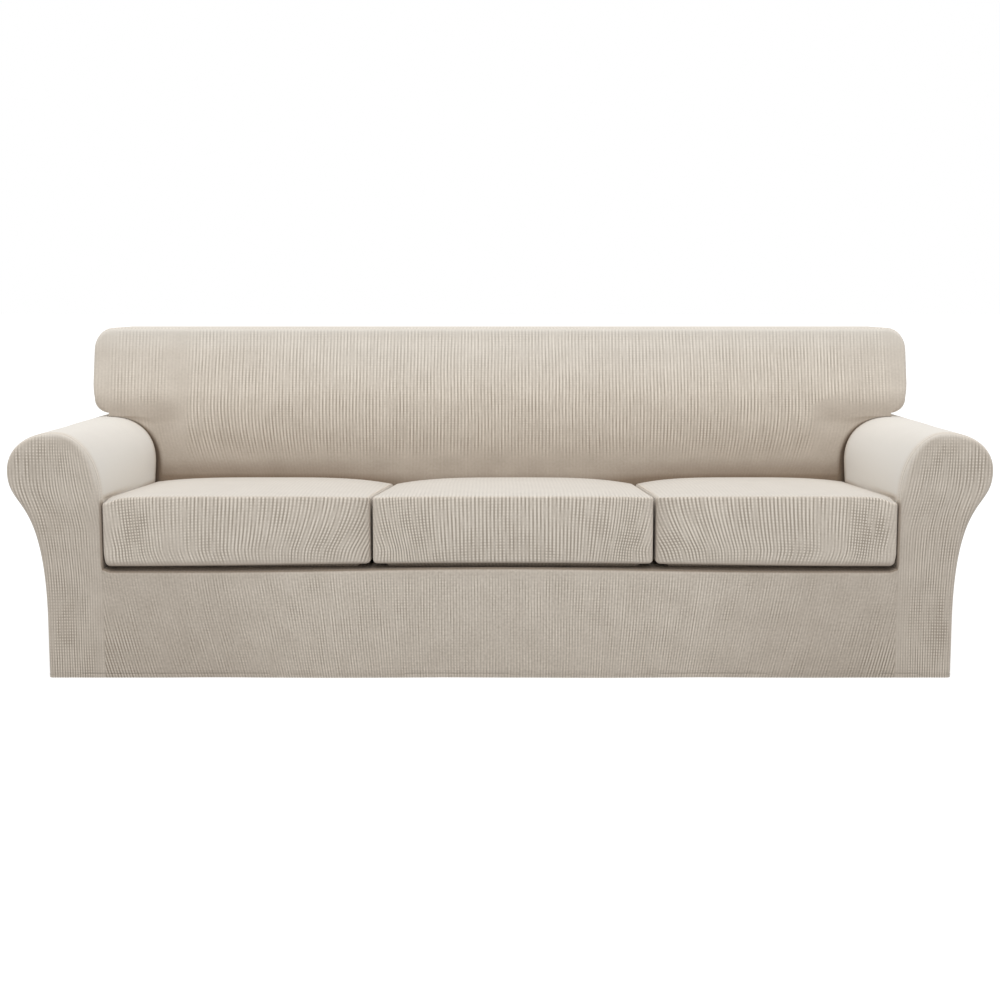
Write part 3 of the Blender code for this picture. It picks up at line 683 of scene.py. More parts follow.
def arm_outer_x(z):
    """Half width over the arms: straight up from the hem, flared out, then over the roll."""
    over = np.clip((z - ROLL_Z) / (ARM_TOP - ROLL_Z), 0, 1)
    roll = CREST_X + (ROLL_X - CREST_X) * (1 - over ** OVER_POWER) ** (1 / OVER_POWER)
    return np.where(z < ROLL_Z, np.interp(z, flare_z, flare_x), roll)


def hem_sink(z):
    """How far the hem's stitches draw the cloth in."""
    return STITCH_SINK * np.exp(-((z - STITCH_Z) / STITCH_SPREAD) ** 2)


def in_hem(place):
    return place.z < HEM_WIDTH


def outside_back_nets():
    line = np.vstack((np.column_stack((arm_outer_x(heights), heights)), ear_line, top_line))
    last = len(heights) - 1 + len(ear_line)
    ring = inset(line, np.full(len(line), EDGE))
    x = ring[:last + 1, 0][:, None] * both_sides(back_half)
    x[last] = mirrored(ring[last:])[:, 0][::-1]
    z = ring[:last + 1, 1][:, None]
    side = np.abs(x[:, -1:]) - np.abs(x)
    keep = smooth(0, KEEP, side) * smooth(0, KEEP, ring[last, 1] - z)
    y = rear_face(z) + folds(REAR_FOLDS, x, z) * keep - hem_sink(z)
    face = net(x, y, z, x, z, REAR_RIBS[0] * smooth(0, REAR_RIBS_FADE, side), 0.0)
    rim = []
    for turn in RIM_TURNS:
        around = mirrored(inset(line, np.full(len(line), EDGE * (1 - math.sin(turn)))))
        flat = mirrored(inset(line, np.full(len(line), EDGE * (1 - turn))))
        y = rear_face(around[:, 1]) - EDGE * (1 - math.cos(turn)) - hem_sink(around[:, 1])
        rim.append((around[:, 0], y, around[:, 1], flat[:, 0], flat[:, 1]))
    x, y, z, flat_x, flat_z = stacked(rim)
    return [face, net(x, y, z, flat_x, flat_z, REAR_RIBS[1], 0.0)]


outside_back = sew("outside_back_cloth", outside_back_nets(), Vector((0, 1, 0)), in_hem)
fit(outside_back, "outside_back", back_knit)


# ---- Arm wraps ----
# One panel on each arm, from the deck up the inner side, over the roll and down the outer side to the hem.
# It is sewn to the arm's front, to the rear panel and, in the deep crease, to the inside back. On top and
# inside its ribs fade and a highlight is painted on it.
INNER_EDGE = 0.006          # radius of the front seam beside the cushions
INNER_EDGE_Z = (0.43, 0.50) # heights between which it grows to the others' radius
WRAP_STEPS = 36             # along the arm, from its front to the back's face
WRAP_EVEN = 0.94            # share of that way over which they are even
WRAP_LAST = (0.016, 0.011, 0.007, 0.0035, 0.0)      # the last of them, by distance from the crease
WRAP_REAR_STEPS = 22
CREST_KEEP = 0.04           # distance from the deck and from the rear part's crest that stays plain

WRAP_FOLDS = (              # along the arm, and up from the outer hem
    Fold(-0.22, 0.62, 0.10, 0.05, 20, -0.0025),
    Fold(0.05, 0.78, 0.09, 0.05, -35, -0.0030),
    Fold(-0.32, 1.02, 0.08, 0.06, 10, -0.0018),
    Fold(-0.05, 0.35, 0.16, 0.05, 70, 0.0030),
    Fold(0.22, 0.28, 0.18, 0.05, 95, -0.0030),
    Fold(0.25, 0.50, 0.10, 0.05, 30, -0.0030),
)

WRAP_RIBS = (0.75, 0.1125)  # without and with the painted highlight
WRAP_RIM_RIBS = 0.45
# Where the highlight is painted on the wrap
WRAP_HIGHLIGHT = (-0.16, -0.03)  # by distance from the crest, outside
WRAP_HIGHLIGHT_IN = (0.05, 0.13, 0.80, 1)        # and on to the inner side
WRAP_HIGHLIGHT_Y = (FRONT, FRONT + 0.035)
CREASE_ON_WRAP = 0.4        # the crease's painted shade is this much closer on the back than on the wrap

CUSHION_SIDE_Z = (0.457, 0.445)     # height of a cushion cover's edge beside an arm, front and rear
CORNER_DIP = 0.009          # how far its front corner sinks
CORNER_REACH = (0.024, 0.030)       # how far that reaches across and in depth
# Painted shade on the arm beside and under the cushions, and along the line where a cushion's top meets it
SEAM_DARK = (0.460, 0.445, 0, 0.72) # beside a cushion,
SEAM_DARK_LOW = (DECK - 0.008, DECK)        # from the deck up
GAP_DARK = (FRONT + 0.035, FRONT + 0.018)
GAP_DARK_LOW = (FRONT + 0.110, FRONT + 0.060)       # under the cushion's lower corner
GAP_DARK_LOW_Z = (0.335, 0.305)
CONTACT_LINE = (0.004, 0.016, 0, 0.72)      # along the cushion's upper edge, from the front on
CONTACT_WIDTH = 0.0045


# The arm's line at the front, from the outer hem over the roll to the deck
arm_outer = np.column_stack((arm_outer_x(heights), heights))
arm_inner_z = seat_heights[-2::-1]
arm_line = np.vstack((arm_outer, np.column_stack((arm_inner_x(arm_inner_z, FRONT), arm_inner_z))))
arm_z = arm_line[:, 1]
arm_length = line_length(arm_line)
arm_crest = len(heights) - 1
on_inside = np.arange(len(arm_line)) > arm_crest
arm_end = np.where(on_inside, back_face(arm_z), back_face(ARM_TOP))


def front_edges(line):
    """The radius of the arm's front edge: tight beside the cushions, softer over the roll and outside."""
    inner = np.arange(len(line)) >= len(heights)
    return np.where(inner, change(line[:, 1], *INNER_EDGE_Z, INNER_EDGE, EDGE), EDGE)


arm_edge = front_edges(arm_line)


def edge_shade(z):
    """Painted shade on the front seam where a cushion stands close beside it."""
    return change(z, *SEAM_DARK) * change(z, *SEAM_DARK_LOW)


def gap_shade(y, z):
    """Painted shade on the wrap's inner side too: close behind the seam, under the cushion's lower corner,
    and along its top.
    """
    low = change(y, *GAP_DARK_LOW) * change(z, *GAP_DARK_LOW_Z)
    deep = y - FRONT
    contact = mix(*CUSHION_SIDE_Z, deep / (SEAT_REAR - FRONT))
    contact = contact - CORNER_DIP * np.exp(-(deep / CORNER_REACH[1]) ** 2)
    along = np.exp(-((z - contact) / CONTACT_WIDTH) ** 2) * change(deep, *CONTACT_LINE)
    return np.maximum(edge_shade(z) * np.maximum(change(y, *GAP_DARK), low), along)


def wrap_painted_highlight(length, y):
    """How much highlight is painted on the wrap: most on top of the roll and on the inner side, little on
    the outer side.
    """
    past_crest = length - arm_length[arm_crest]
    return change(past_crest, *WRAP_HIGHLIGHT) * change(past_crest, *WRAP_HIGHLIGHT_IN) * change(y, *WRAP_HIGHLIGHT_Y)


# The ribs fade where the highlight is painted; dark is painted shade
def wrap_looks(length, y, dark, ribs=WRAP_RIBS):
    painted_highlight = wrap_painted_highlight(length, y)
    return mix(*ribs, painted_highlight), painted_highlight - (1 + painted_highlight) * dark


def wrap_row(side, y):
    """The arm's line at a depth, with its folds, and tucked into the crease at the back's face."""
    x = np.where(on_inside, arm_inner_x(arm_z, y), arm_line[:, 0])
    tuck = smooth(0, CREASE_FADE, ARM_TOP - arm_z) * np.exp(-((arm_end - y) / CREASE_WIDTH) ** 2) * on_inside
    keep = smooth(0, KEEP, y - FRONT - EDGE) * smooth(0, KEEP, arm_length)
    keep = keep * smooth(0, CREST_KEEP, arm_length[-1] - arm_length)
    lift = folds(WRAP_FOLDS, y, arm_length) * keep - hem_sink(arm_z)
    moved = inset(np.column_stack((x, arm_z)), CREASE_OUT * tuck - lift)
    moved[0, 1] = 0.0
    return side * moved[:, 0], y + CREASE_BACK * tuck, moved[:, 1], y, arm_length


def wrap_net(side):
    """The wrap from the front edge to the back's face."""
    reach = WRAP_EVEN * (arm_end - FRONT - arm_edge)
    depths = [FRONT + arm_edge + reach * share for share in np.linspace(0, 1, WRAP_STEPS)]
    depths += [arm_end - gap for gap in WRAP_LAST]
    parts = stacked([wrap_row(side, y) for y in depths])
    y, flat_y, length = parts[1], parts[3], parts[4]
    dark = np.maximum(crease_shade(CREASE_ON_WRAP * (arm_end - flat_y), arm_z), gap_shade(flat_y, arm_z))
    return net(*parts, *wrap_looks(length, y, dark * on_inside))


def wrap_rear_net(side):
    """Its outer side from there on to the seam with the rear panel."""
    line, z, length = arm_line[:arm_crest + 1], arm_z[:arm_crest + 1], arm_length[:arm_crest + 1]
    rear_end = rear_face(z) - EDGE
    rows = []
    for step in range(WRAP_REAR_STEPS + 1):
        y = mix(back_face(ARM_TOP), rear_end, step / WRAP_REAR_STEPS)
        keep = smooth(0, KEEP, length) * smooth(0, KEEP, rear_end - y)
        keep = keep * smooth(0, CREST_KEEP, length[-1] - length)
        moved = inset(line, hem_sink(z) - folds(WRAP_FOLDS, y, length) * keep)
        moved[0, 1] = 0.0
        rows.append((side * moved[:, 0], y, moved[:, 1], y, length))
    for turn in RIM_TURNS[1:]:
        moved = inset(line, EDGE * (1 - math.cos(turn)) + hem_sink(z))
        moved[0, 1] = 0.0
        y = rear_face(moved[:, 1]) - EDGE * (1 - math.sin(turn))
        rows.append((side * moved[:, 0], y, moved[:, 1], rear_end + EDGE * turn, length))
    parts = stacked(rows)
    return net(*parts, *wrap_looks(parts[4], parts[1], 0.0))


def wrap_rim_net(side):
    """And its front edge, half way round."""
    rows = [wrap_row(side, FRONT + arm_edge)]
    for turn in RIM_TURNS[1:]:
        moved = inset(arm_line, arm_edge * (1 - math.cos(turn)) + hem_sink(arm_z))
        moved[0, 1] = 0.0
        moved[-1] = (arm_line[-1, 0], DECK - arm_edge[-1] * (1 - math.cos(turn)))
        y = FRONT + arm_edge * (1 - math.sin(turn))
        rows.append((side * moved[:, 0], y, moved[:, 1], FRONT + arm_edge * (1 - turn), arm_length))
    looks = wrap_looks(arm_length, FRONT + EDGE, edge_shade(arm_z) * on_inside, (WRAP_RIM_RIBS, 0.0))
    return net(*stacked(rows), *looks)


hem_pieces = []
arm_knit = knit_material("knit_arm", rib_pitch=0.0087, row_pitch=0.0076, painted_highlight=(0.775, 0.742, 0.690, 1))
for name, side in (("left", -1), ("right", 1)):
    nets = [wrap_net(side), wrap_rear_net(side), wrap_rim_net(side)]
    wrap = sew("arm_wrap_cloth_" + name, nets, Vector((side, 0, 0)), in_hem)
    hem_pieces.append(wrap)
    fit(wrap, "arm_wrap_" + name, arm_knit)


# ---- Arm fronts ----
# A scroll-shaped panel closes each arm in front, from the hem up into the roll. Its ribs lean with the
# flare. It is sewn round the scroll to the wrap, and down its inner side to the skirt in a flat seam.
FRONT_STEPS = 26            # across the panel
SEAT_X = float(arm_inner_x(DECK, FRONT))
SEAM_SINK = 0.0012          # a flat seam's valley
SEAM_WIDTH = 0.0035
FRONT_KEEP = 0.04           # distance from its seams within which the panel stays plain
RIB_LEAN = 0.60             # how much of the flare the ribs follow
INNER_LEAN = (1.16, 1.02, 0, 0.20)          # and how much they lean besides, towards the inner side,
INNER_LEAN_Z = (0.38, 0.58)                 # between these heights

FRONT_FOLDS = (
    Fold(1.150, 0.430, 0.090, 0.030, 30, -0.0035),
    Fold(1.060, 0.330, 0.120, 0.035, 80, 0.0022),
    Fold(1.090, 0.150, 0.120, 0.030, 84, -0.0024),
    Fold(1.130, 0.560, 0.050, 0.040, 0, 0.0030),
    Fold(1.040, 0.100, 0.080, 0.022, 97, 0.0020),
)
FRONT_RIBS = 0.95
SCROLL_RIBS = (0.0, 0.030, 0.30, 1)         # by distance in from the outer line
INNER_RIBS = (0.005, 0.060, 0.25, 1)        # by distance from the inner side
HEM_RIBS = (0.06, 0.16, 1.25, 1)
CREST_RIBS = (0.615, 0.575, 0.35, 1)
# Painted light and shade on the arm front: a highlight where the cloth turns over the roll, shade below it
# and beside the cushion
MARGIN_PALE = (0.020, 0.0, 0, 0.50)         # the inner margin,
MARGIN_PALE_Z = (0.46, 0.52)                # where it turns over the roll
CREST_PALE = (0.600, 0.632, 0, 0.75)
FRONT_DARK = (0.50, 0.38, 0.11, 0.21)
SEAM_LINE = 0.0036                          # half width of the painted dark line beside a cushion
EVEN_ROWS = 0.42
FRONT_ROWS = (              # where the crossing rows are clearer or fainter than that
    Fold(1.150, 0.560, 0.060, 0.050, 0, 0.35),
    Fold(1.100, 0.110, 0.050, 0.080, 0, 0.30),
    Fold(1.050, 0.330, 0.060, 0.080, 0, -0.20),
)


def front_cloth(x, z):
    """The arm front's own coordinates: its ribs follow the outer line's flare part of the way."""
    edge = arm_outer_x(np.clip(z, 0, ROLL_Z))
    flared = SEAT_X + (x - SEAT_X) * (ROLL_X - SEAT_X) / (edge - SEAT_X)
    lean = change(x, *INNER_LEAN) * (np.clip(z, *INNER_LEAN_Z) - INNER_LEAN_Z[0])
    return mix(x, flared, RIB_LEAN) - lean, z


def front_looks(x, z):
    """Ribs fainter towards the seams, a painted highlight on the margin where the cloth turns over the roll
    and on the crest, and painted shade below it down to the floor and beside the cushion. The third look is
    its rows."""
    outer = arm_outer_x(np.minimum(z, ARM_TOP)) - x
    inner = x - arm_inner_x(z, FRONT)
    weave = FRONT_RIBS * change(outer, *SCROLL_RIBS) * change(inner, *INNER_RIBS)
    weave = weave * change(z, *HEM_RIBS) * change(z, *CREST_RIBS)
    pale = change(inner, *MARGIN_PALE) * change(z, *MARGIN_PALE_Z) + change(z, *CREST_PALE)
    dark = change(z, *FRONT_DARK) + edge_shade(z) * np.exp(-(inner / SEAM_LINE) ** 2)
    return weave, pale - dark, EVEN_ROWS + folds(FRONT_ROWS, x, z)


def seam_valley(x, z):
    """How far the flat seam between the skirt and an arm front lies in."""
    return SEAM_SINK * np.exp(-((SEAT_X - np.abs(x)) / SEAM_WIDTH) ** 2) * smooth(DECK, DECK - EDGE, z)


def front_nets(side):
    inner = np.column_stack((arm_inner_x(heights, FRONT), heights))[::-1]
    line = np.vstack((arm_outer, inner[1:]))
    skirt_side = (np.arange(len(line)) >= len(heights)) & (line[:, 1] < DECK - JOIN)
    corner = len(heights) + len(seat_heights) - 2
    edge = np.where(skirt_side, 0.0, front_edges(line))
    ring = inset(line, edge)
    ring[corner] = (SEAT_X, DECK - INNER_EDGE)
    start, finish = ring[:len(heights), :, None], ring[:len(heights) - 2:-1, :, None]
    share = np.linspace(0, 1, FRONT_STEPS)
    x, z = mix(start[:, 0], finish[:, 0], share), mix(start[:, 1], finish[:, 1], share)
    keep = smooth(0, FRONT_KEEP, x - finish[:, 0]) * smooth(0, FRONT_KEEP, start[:, 0] - x)
    y = FRONT + seam_valley(x, z) + hem_sink(z) - folds(FRONT_FOLDS, x, z) * keep
    face = net(side * x, y, z, side * front_cloth(x, z)[0], z, *front_looks(x, z))
    rim = []
    for turn in RIM_TURNS:
        around = inset(line, edge * (1 - math.sin(turn)))
        flat = inset(line, edge * (1 - turn))
        around[corner] = (SEAT_X, DECK - INNER_EDGE * (1 - math.sin(turn)))
        around[[0, -1], 1] = 0.0
        valley = np.where(skirt_side, seam_valley(SEAT_X, around[:, 1]), 0.0)
        y = FRONT + edge * (1 - math.cos(turn)) + valley + hem_sink(around[:, 1])
        rim.append((around[:, 0], y, around[:, 1], flat[:, 0], flat[:, 1]))
    x, y, z, flat_x, flat_z = stacked(rim)
    flat_x, flat_z = front_cloth(flat_x, flat_z)
    return [face, net(side * x, y, z, side * flat_x, flat_z, *front_looks(x, z))]


for name, side in (("left", -1), ("right", 1)):
    front = sew("arm_front_cloth_" + name, front_nets(side), Vector((0, -1, 0)), in_hem)
    hem_pieces.append(front)
    fit(front, "arm_front_" + name, arm_knit)


# ---- Seat deck ----
# The flat cloth under the seat cushions, from the front edge to the inside back, between the arms.
# Its front edge runs over the padded front rail, which stands up a little in the middle.
DECK_STEPS = 30
DECK_POWER = 1.5            # above 1, its rows are closer together in front
DECK_COLUMNS = 70           # from the middle to a side
RAIL_RISE = (0, 0.75, 0.0025, -0.0060)      # how far it stands above the deck, from the middle to the sides
RAIL_END = (0, 0.020)       # distances from an arm over which it starts
RAIL_EDGE = (0, 0.030, INNER_EDGE, EDGE)    # and the radius of its edge changes
RAIL_DEPTH = 0.036          # how far back its shape reaches
DECK_RIBS = 0.6
DECK_DARK = (FRONT + 0.070, FRONT + 0.045, 0, 0.8)      # painted shade close under the cushions' fronts


def rail_rise(x):
    side = np.abs(x)
    return change(side, *RAIL_RISE) * change(SEAT_X - side, *RAIL_END)


deck_columns = both_sides(half_shares(DECK_COLUMNS))
rail_edge = change(SEAT_X * (1 - np.abs(deck_columns)), *RAIL_EDGE)
front_x = SEAT_X * deck_columns
deck_rows = []
for turn in RIM_TURNS[::-1]:
    z = DECK + rail_rise(front_x) - rail_edge * (1 - math.cos(turn))
    deck_rows.append((front_x, FRONT + rail_edge * (1 - math.sin(turn)), z, FRONT + rail_edge * (1 - turn)))
for step in range(1, DECK_STEPS + 1):
    y = mix(FRONT + EDGE, SEAT_REAR, (step / DECK_STEPS) ** DECK_POWER)
    x = arm_inner_x(DECK, y) * deck_columns
    deck_rows.append((x, y, DECK + rail_rise(x) * smooth(FRONT + RAIL_DEPTH, FRONT + EDGE, y), y))
x, y, z, flat_y = stacked(deck_rows)
deck_dark = change(y, *DECK_DARK)
deck_nets = [net(x, y, z, x, flat_y, DECK_RIBS * (1 - deck_dark), -deck_dark)]
seat_deck = sew("seat_deck_cloth", deck_nets, Vector((0, 0, 1)))
fit(seat_deck, "seat_deck", back_knit)


# ---- Front skirt ----
# The drop from the seat's front edge to the floor between the arm fronts, taut, with a few soft folds that
# grow towards the hem. Its finer ribs lean outwards to the hem, and its weave is faint.
HANG_FOLDS = (
    Fold(-0.72, 0.0, 0.34, 0.10, 90, 0.0030),
    Fold(-0.41, 0.0, 0.30, 0.13, 90, -0.0026),
    Fold(-0.13, 0.0, 0.30, 0.09, 90, 0.0022),
    Fold(0.24, 0.0, 0.32, 0.12, 90, -0.0028),
    Fold(0.53, 0.0, 0.30, 0.09, 90, 0.0030),
    Fold(0.80, 0.0, 0.30, 0.08, 90, -0.0020),
)
HANG_POWER = 8              # the folds fade only close to the arm fronts
RAIL_POWER = 3              # and the rail's rise close below it
SKIRT_LEAN = (0.05, 0.75, 0, 0.060)         # how far the ribs lean from the deck to the hem, by the sides
SKIRT_LEAN_POWER = 1.3
SKIRT_ROWS = 0.35
SKIRT_RIBS = 0.58
RAIL_RIBS = (DECK, DECK - 0.045, 0.15, 1)
# Painted shade on the skirt: towards the sides and the floor, and a painted shadow just below the cushions
SKIRT_DARK = (0.42, 0.85, 0.07, 0.25)       # from the middle to the sides
FLOOR_DARK = (DECK, 0, 0, 0.09)             # and down to the floor
RAIL_DARK = (-0.020, -0.006, 0, 0.10)       # just below the cushions, by height from the rail's top
RAIL_LINE = (-0.0058, -0.0012, 0, 0.75)
SKIRT_ZONES = (             # where the ribs are clearer or fainter than elsewhere, on both sides
    Fold(0.97, 0.040, 0.050, 0.060, 0, 0.80),
    Fold(0.83, 0.130, 0.070, 0.160, 0, -0.20),
    Fold(0.62, 0.090, 0.100, 0.080, 0, -0.20),
    Fold(0.42, 0.130, 0.160, 0.080, 0, 0.25),
    Fold(0.95, 0.230, 0.140, 0.050, 0, -0.30),
    Fold(0.00, 0.120, 0.100, 0.140, 0, -0.22),
    Fold(0.20, 0.060, 0.080, 0.050, 0, -0.15),
    Fold(0.12, 0.200, 0.200, 0.060, 0, 0.20),
)


def skirt_cloth(x, z):
    """The skirt's own coordinates, with its leaning ribs."""
    return x + np.sign(x) * change(np.abs(x), *SKIRT_LEAN) * ((DECK - z) / DECK) ** SKIRT_LEAN_POWER, z


def skirt_looks(x, z):
    """Ribs gone just below the rail, and faint and uneven below. Painted shade towards the sides and the
    floor, and a painted shadow just below the cushions."""
    side = np.abs(x)
    weave = (SKIRT_RIBS + folds(SKIRT_ZONES, side, z)) * change(z, *RAIL_RIBS)
    below = z - DECK - rail_rise(x)
    dark = change(z, *FLOOR_DARK) + change(side, *SKIRT_DARK)
    return weave, -dark - change(below, *RAIL_DARK) - change(below, *RAIL_LINE), SKIRT_ROWS


def skirt_net():
    rows = []
    for z in low_heights:
        up = z / (DECK - EDGE)
        hang = folds(HANG_FOLDS, front_x, 0.0) * (1 - up) * (1 - deck_columns ** HANG_POWER)
        y = FRONT + hang + seam_valley(front_x, z) + hem_sink(z)
        rows.append((front_x, y, z + rail_rise(front_x) * up ** RAIL_POWER, z))
    for turn in RIM_TURNS:
        y = FRONT + rail_edge * (1 - math.cos(turn))
        z = DECK - rail_edge * (1 - math.sin(turn)) + rail_rise(front_x)
        rows.append((front_x, y, z, DECK - rail_edge * (1 - turn)))
    x, y, z, flat_z = stacked(rows)
    return net(x, y, z, *skirt_cloth(x, flat_z), *skirt_looks(x, z))


skirt_knit = knit_material("knit_skirt", rib_pitch=0.0076, row_pitch=0.0070, relief=0.0008, fleck=0.6)
front_skirt = sew("front_skirt_cloth", [skirt_net()], Vector((0, -1, 0)), in_hem)
fit(front_skirt, "front_skirt", skirt_knit)


# ---- Seat cushion covers ----
# Three separate covers, each a boxing round the four sides with its hem turned under the cushion, and a top
# panel sewn to it round the upper edge. They are filled out by their cushions: full in front, softly crowned
# on top and drawn in at the lower corners. The two gaps between them stand a little aslant.
CUSHION_BASE = DECK + 0.0004
CUSHION_TOP = 0.466         # height in front, without the crown
CUSHION_RISE = 0.006        # how far the top is crowned from front to rear
CUSHION_DROP = 0.010        # and how much lower it is at the rear
CROWN_POWER = (6.0, 3.5)    # how square the top's line is from side to side, in front and at the rear
CUSHION_CORNER = 0.010      # radius of the corners seen from above,
CORNER_TIGHTENS = 0.6       # less this share of the distance in from the faces,
CORNER_LEAST = 0.006        # and at least this
CUSHION_BULGE = 0.004       # fullness of the front
BULGE_SHAPE = (6, 0.7)      # powers of its shape across and upright
CUSHION_REAR_GAP = 0.0012   # to the inside back
ARM_CLEAR = 0.0026          # to the arms

CUSHION_HEM = 0.050
HEM_RINGS = (CUSHION_HEM, 0.043)
FOOT_IN = (0.037, 0.026)    # where the underside's rounding starts and ends, in from the faces
UNDER = 0.0125              # how high the underside stands clear near its edge
LOWER = 0.010               # radius of the lower edge
LOWER_UP = UNDER + LOWER
UPPER = 0.008               # radius of the upper edge
SAG = (0.35, 0.95, 0, 0.007)    # how far the lower edge sags, from the middle of the seat towards the arms
END_CUT = 0.008             # how far the outer sides are drawn in at the bottom
END_CUT_UP = 0.040          # and how high that reaches

CORNER_STEPS = 5            # round half a corner
ACROSS_STEPS = 56           # along the front and the rear
DEEP_STEPS = 40             # along the sides
EDGE_STEPS = 8              # up the underside's rounding, and round the lower edge
FACE_STEPS = 14             # up the face
SHOULDER_TURNS = np.radians((45, 60, 75, 90))       # from the top's seam to its level part

END_ZONES = (               # where the ribs are clearer or fainter, on the end covers' fronts
    Fold(0.917, 0.367, 0.050, 0.056, 0, 0.30),
    Fold(0.824, 0.342, 0.042, 0.045, 0, -0.80),
    Fold(0.804, 0.418, 0.035, 0.026, 0, -0.40),
    Fold(0.671, 0.443, 0.060, 0.030, 0, 0.30),
    Fold(0.753, 0.334, 0.050, 0.020, 0, -0.30),
    Fold(0.452, 0.354, 0.090, 0.045, 0, 0.20),
    Fold(0.603, 0.321, 0.070, 0.020, 0, -0.35),
)
MIDDLE_ZONES = (            # and on the middle cover's front
    Fold(-0.259, 0.354, 0.045, 0.060, 0, 0.65),
    Fold(0.052, 0.398, 0.022, 0.024, 0, -0.55),
    Fold(0.050, 0.324, 0.030, 0.022, 0, -0.55),
    Fold(-0.060, 0.330, 0.050, 0.025, 0, -0.25),
    Fold(0.138, 0.350, 0.022, 0.035, 0, -0.35),
    Fold(0.314, 0.380, 0.050, 0.070, 0, 0.65),
)
COVER_ROWS = 0.34
END_ROWS = (                # where the crossing rows are clearer than that, on the end covers
    Fold(0.915, 0.375, 0.050, 0.050, 0, 0.55),
    Fold(0.753, 0.334, 0.050, 0.020, 0, 0.40),
    Fold(0.430, 0.345, 0.060, 0.030, 0, 0.25),
)
MIDDLE_ROWS = (
    Fold(-0.200, 0.370, 0.040, 0.050, 0, 0.30),
    Fold(-0.020, 0.336, 0.070, 0.030, 0, 0.40),
    Fold(0.314, 0.370, 0.050, 0.060, 0, 0.35),
    Fold(0.150, 0.320, 0.060, 0.018, 0, 0.30),
)
SWAY_POWER = 1.6            # the ribs lean more and more towards the bottom
BUNCH = 0.014               # how far the ribs are drawn together on both sides of a place
BUNCH_REACH = 0.045
BUNCH_DOWN = (1.0, 0.7)     # shares of the height, from the top down, where that starts

# Distances down are shares of the cover's height
BOXING_FRONT = (FRONT + 0.030, FRONT + 0.005)       # where the looks of the front begin
END_RIBS = (0.008, 0.030, 0.25, 1)          # by distance from a side
BOTTOM_RIBS = (0.93, 0.85, 0.10, 1)
SHOULDER_RIBS = (0.010, 0.045, 0.30, 1)
LEAST_FRONT_RIBS = 0.05
BOXING_SIDE = (0.3, 0.5)    # how clear the ribs are and how much highlight is painted on the other sides
# Painted shade on the boxing: a little on the front, more beside the middle cover, and in the gap at the
# bottom
COVER_DARK = 0.03
BESIDE_WIDTH = 0.030        # an end cover is darker this near to the middle one,
BESIDE_DOWN = (1.0, 0.85)   # down to here
BOTTOM_DARK = (0.885, 0.985)
BOTTOM_SHADE = -0.70
PANEL_RIBS = 0.24
PANEL_FRONT = (FRONT + 0.110, FRONT + 0.020)
# A highlight painted on the top panel, and painted shade along its sides and its rear
PANEL_PALE = (FRONT + 0.010, FRONT, 0.62, 0.37)
PANEL_SIDE_DARK = (FRONT + 0.002, FRONT + 0.200, 0.45, 0.85)
PANEL_SIDE_LINE = 0.0055
PANEL_REAR_DARK = (-0.036, -0.004, 0, 0.50)         # by distance from the rear

SEAT_X_REAR = float(arm_inner_x(DECK, SEAT_REAR))
Side = namedtuple("Side", "x_front x_rear z_front z_rear")
# A sway is how far the ribs lean beside a side, and over what share of the width. The amounts are how clear
# the ribs are in front, how much clearer on the top's front part, and how much shade is painted by the
# middle cover.
Cushion = namedtuple("Cushion", "name left right sway_left sway_right ribs front_ribs beside zones rows"
                                " bunches")
CUSHIONS = (
    Cushion("left", Side(ARM_CLEAR - SEAT_X, ARM_CLEAR - SEAT_X_REAR, *CUSHION_SIDE_Z),
            Side(-0.3276, -0.3030, 0.463, 0.439),
            (0.036, 0.20), (-0.095, 0.42), 1.05, 0.05, 0.20, END_ZONES, END_ROWS, (-0.915,)),
    Cushion("middle", Side(-0.3209, -0.2963, 0.463, 0.439),
            Side(0.3857, 0.3764, 0.463, 0.439),
            (0.062, 0.20), (-0.062, 0.20), 1.22, 0.30, 0.0, MIDDLE_ZONES, MIDDLE_ROWS, (-0.255, 0.318)),
    Cushion("right", Side(0.3929, 0.3832, 0.463, 0.439),
            Side(SEAT_X - ARM_CLEAR, SEAT_X_REAR - ARM_CLEAR, *CUSHION_SIDE_Z),
            (0.095, 0.42), (-0.036, 0.20), 1.22, 0.05, 0.20, END_ZONES, END_ROWS, (0.915,)),
)


def cushion_stations():
    """Steps round a cover in plan, anticlockwise from the front left corner's middle: shares, angle."""
    corners = ((0, 0, 225), (1, 0, 315), (1, 1, 45), (0, 1, 135))
    steps = (ACROSS_STEPS, DEEP_STEPS, ACROSS_STEPS, DEEP_STEPS)
    stations = []
    for i, (u, v, middle) in enumerate(corners):
        next_u, next_v, following = corners[(i + 1) % 4]
        for step in range(CORNER_STEPS + 1):
            stations.append((u, v, middle + 45 * step / CORNER_STEPS))
        for step in range(1, steps[i]):
            stations.append((mix(u, next_u, step / steps[i]), mix(v, next_v, step / steps[i]), None))
        for step in range(CORNER_STEPS):
            stations.append((next_u, next_v, following - 45 * (1 - step / CORNER_STEPS)))
    return stations


def beside_arm(side):
    return abs(side.x_front) > SEAT_X / 2


def side_x(side, y, z):
    """A side's x at a depth and a height. A side beside an arm is drawn in towards the bottom."""
    x = mix(side.x_front, side.x_rear, (y - FRONT) / (SEAT_REAR - FRONT))
    if beside_arm(side):
        x = x - np.sign(x) * END_CUT * np.maximum(1 - (z - CUSHION_BASE) / END_CUT_UP, 0)
    return x


